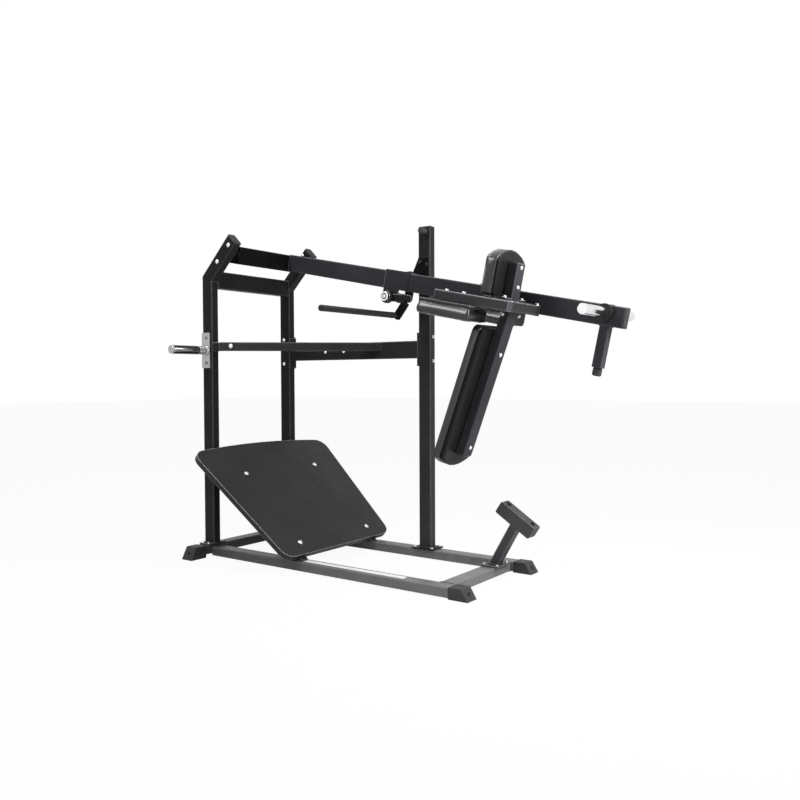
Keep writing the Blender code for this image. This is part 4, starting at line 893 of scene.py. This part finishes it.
def weld(bm, centre, across, along, half_a, half_b, radius=0.0032):
    """A rippled bead round a tube's end."""
    sweep(bm, rectangle(centre, across, along, half_a, half_b), radius, True, 6, 0.22)


def welds():
    """Beads where tubes meet, and a pale seam along the lever's bracket, partly a real seam and partly a
    painted highlight of the bracket's edge.
    """
    x, y, z = (1, 0, 0), (0, 1, 0), (0, 0, 1)
    post_face = 2 * POST_X + 0.0006
    bm = bmesh.new()
    for middle, beam_end in zip(POST_MIDDLES, (0.0502, 0.6418)):
        weld(bm, (POST_X, middle, 0.0755), x, y, 0.040, 0.025)
        weld(bm, (0.055, beam_end, 1.601), x, z, 0.025, 0.050)
    weld(bm, (TOWER_X, POST_MIDDLES[1], 0.0638), x, y, 0.040, 0.025)
    weld(bm, (STOP_POST_X, ARM_MIDDLE_Y, 0.0640), x, y, 0.030, 0.025)
    weld(bm, (post_face, POST_MIDDLES[0], 1.212), y, z, 0.020, 0.025)
    weld(bm, (1.637, 0.0656, 0.030), x, z, 0.040, 0.024)
    weld(bm, (1.637, 0.6264, 0.030), x, z, 0.040, 0.024)
    for side_y in (0.040, 0.652):
        weld(bm, (post_face, side_y, 0.5635), y, z, 0.025, 0.032)
    for middle in POST_MIDDLES:
        weld(bm, (post_face, middle, 0.036), y, z, 0.040, 0.019)
    finish_piece("frame_welds", bm, WELD, "frame", MACHINE)
    bm = bmesh.new()
    weld(bm, (0.0506, ARM_MIDDLE_Y, 0.005), y, z, 0.030, 0.045, 0.0036)
    weld(bm, (BUMPER_S, ARM_MIDDLE_Y, -0.0456), x, y, 0.025, 0.025)
    weld(bm, (1.717, 0.4896, -0.027), x, z, 0.057, 0.025)
    weld(bm, (1.717, 0.2124, -0.027), x, z, 0.057, 0.025)
    weld(bm, (HEAD_TUBE_S, MIDDLE_Y, -0.0016), x, y, 0.025, 0.040)
    finish_piece("arm_welds", bm, WELD, "arm", ARM)
    bm = bmesh.new()
    # The bracket's seam in pale paint: partly a real seam, partly a painted highlight of its edge.
    sweep(bm, [(0.8025, 0.4846, 0.056), (0.8025, 0.4846, -0.046)], 0.0022, False, 6, 0.15)
    sweep(bm, [(0.8025, 0.4846, 0.056), (0.8025, 0.5554, 0.0602)], 0.0020, False, 6, 0.15)
    finish_piece("bracket_seam", bm, SEAM_HIGHLIGHT, "arm", ARM)


welds()


# Floor, light and camera
def seen_rays(tree):
    """One for camera, glossy and transmission rays, and nought for the rest."""
    path = tree.nodes.new("ShaderNodeLightPath")
    total = path.outputs["Is Camera Ray"]
    for name in ("Is Glossy Ray", "Is Transmission Ray"):
        either = tree.nodes.new("ShaderNodeMath")
        either.operation = "MAXIMUM"
        tree.links.new(total, either.inputs[0])
        tree.links.new(path.outputs[name], either.inputs[1])
        total = either.outputs[0]
    return total


def floor():
    """A plain pale floor that shows white and keeps the object's shadow."""
    bm = bmesh.new()
    bmesh.ops.create_grid(bm, x_segments=1, y_segments=1, size=30)
    mesh = bpy.data.meshes.new("floor")
    bm.to_mesh(mesh)
    bm.free()
    obj = bpy.data.objects.new("floor", mesh)
    bpy.context.scene.collection.objects.link(obj)
    mat = bpy.data.materials.new("floor_white")
    mat.use_nodes = True
    tree = mat.node_tree
    shader = tree.nodes["Principled BSDF"]
    shader.inputs["Base Color"].default_value = (0.88, 0.88, 0.88, 1)
    shader.inputs["Roughness"].default_value = 0.9
    glow = tree.nodes.new("ShaderNodeEmission")
    glow.inputs["Strength"].default_value = 1.0
    share = tree.nodes.new("ShaderNodeMath")
    share.operation = "MULTIPLY"
    share.inputs[1].default_value = 0.94
    tree.links.new(seen_rays(tree), share.inputs[0])
    mix = tree.nodes.new("ShaderNodeMixShader")
    tree.links.new(share.outputs[0], mix.inputs[0])
    tree.links.new(shader.outputs[0], mix.inputs[1])
    tree.links.new(glow.outputs[0], mix.inputs[2])
    tree.links.new(mix.outputs[0], tree.nodes["Material Output"].inputs["Surface"])
    mesh.materials.append(mat)


def lamp(name, place, target, size, power):
    data = bpy.data.lights.new(name, "AREA")
    data.shape = "RECTANGLE"
    data.size = size[0]
    data.size_y = size[1]
    data.energy = power
    obj = bpy.data.objects.new(name, data)
    bpy.context.scene.collection.objects.link(obj)
    obj.location = place
    obj.rotation_euler = (Vector(target) - Vector(place)).to_track_quat("-Z", "Y").to_euler()
    return obj


def light():
    world = bpy.data.worlds.new("studio")
    bpy.context.scene.world = world
    world.use_nodes = True
    tree = world.node_tree
    ambient = tree.nodes["Background"]
    ambient.inputs["Color"].default_value = (1, 1, 1, 1)
    ambient.inputs["Strength"].default_value = 0.30
    shown = tree.nodes.new("ShaderNodeBackground")
    shown.inputs["Color"].default_value = (1, 1, 1, 1)
    shown.inputs["Strength"].default_value = 1.0
    mix = tree.nodes.new("ShaderNodeMixShader")
    tree.links.new(seen_rays(tree), mix.inputs[0])
    tree.links.new(ambient.outputs[0], mix.inputs[1])
    tree.links.new(shown.outputs[0], mix.inputs[2])
    tree.links.new(mix.outputs[0], tree.nodes["World Output"].inputs["Surface"])
    lamp("key", (2.4, 0.3, 2.2), (0.2, 0, 0.9), (1.4, 1.4), 82)
    lamp("fill", (0.6, -4.8, 0.8), (0.1, 0, 0.5), (3.0, 1.0), 14)
    lamp("front", (-1.06, -2.56, 3.37), (0.42, -0.25, 1.35), (0.7, 1.2), 46)
    lamp("top", (-1.2, -0.3, 4.3), (-0.1, 0, 1.0), (0.8, 1.0), 26)


def camera():
    """The photograph's view, fitted to the straight edges of the frame."""
    yaw = math.radians(35.69)
    tilt = math.radians(1.578)
    roll = math.radians(-0.236)
    right = Vector((math.cos(yaw), math.sin(yaw), 0))
    ahead = Vector((-math.sin(yaw) * math.cos(tilt), math.cos(yaw) * math.cos(tilt), -math.sin(tilt)))
    above = right.cross(ahead)
    side = right * math.cos(roll) + above * math.sin(roll)
    head = above * math.cos(roll) - right * math.sin(roll)
    data = bpy.data.cameras.new("camera")
    data.sensor_width = 36
    data.sensor_fit = "HORIZONTAL"
    data.lens = 36.58
    obj = bpy.data.objects.new("camera", data)
    bpy.context.scene.collection.objects.link(obj)
    turn = Matrix((side, head, -ahead)).transposed().to_4x4()
    obj.matrix_world = MACHINE @ Matrix.Translation((3.696, -3.180, 1.030)) @ turn
    bpy.context.scene.camera = obj


floor()
light()
camera()
bpy.context.scene.view_settings.view_transform = "Standard"
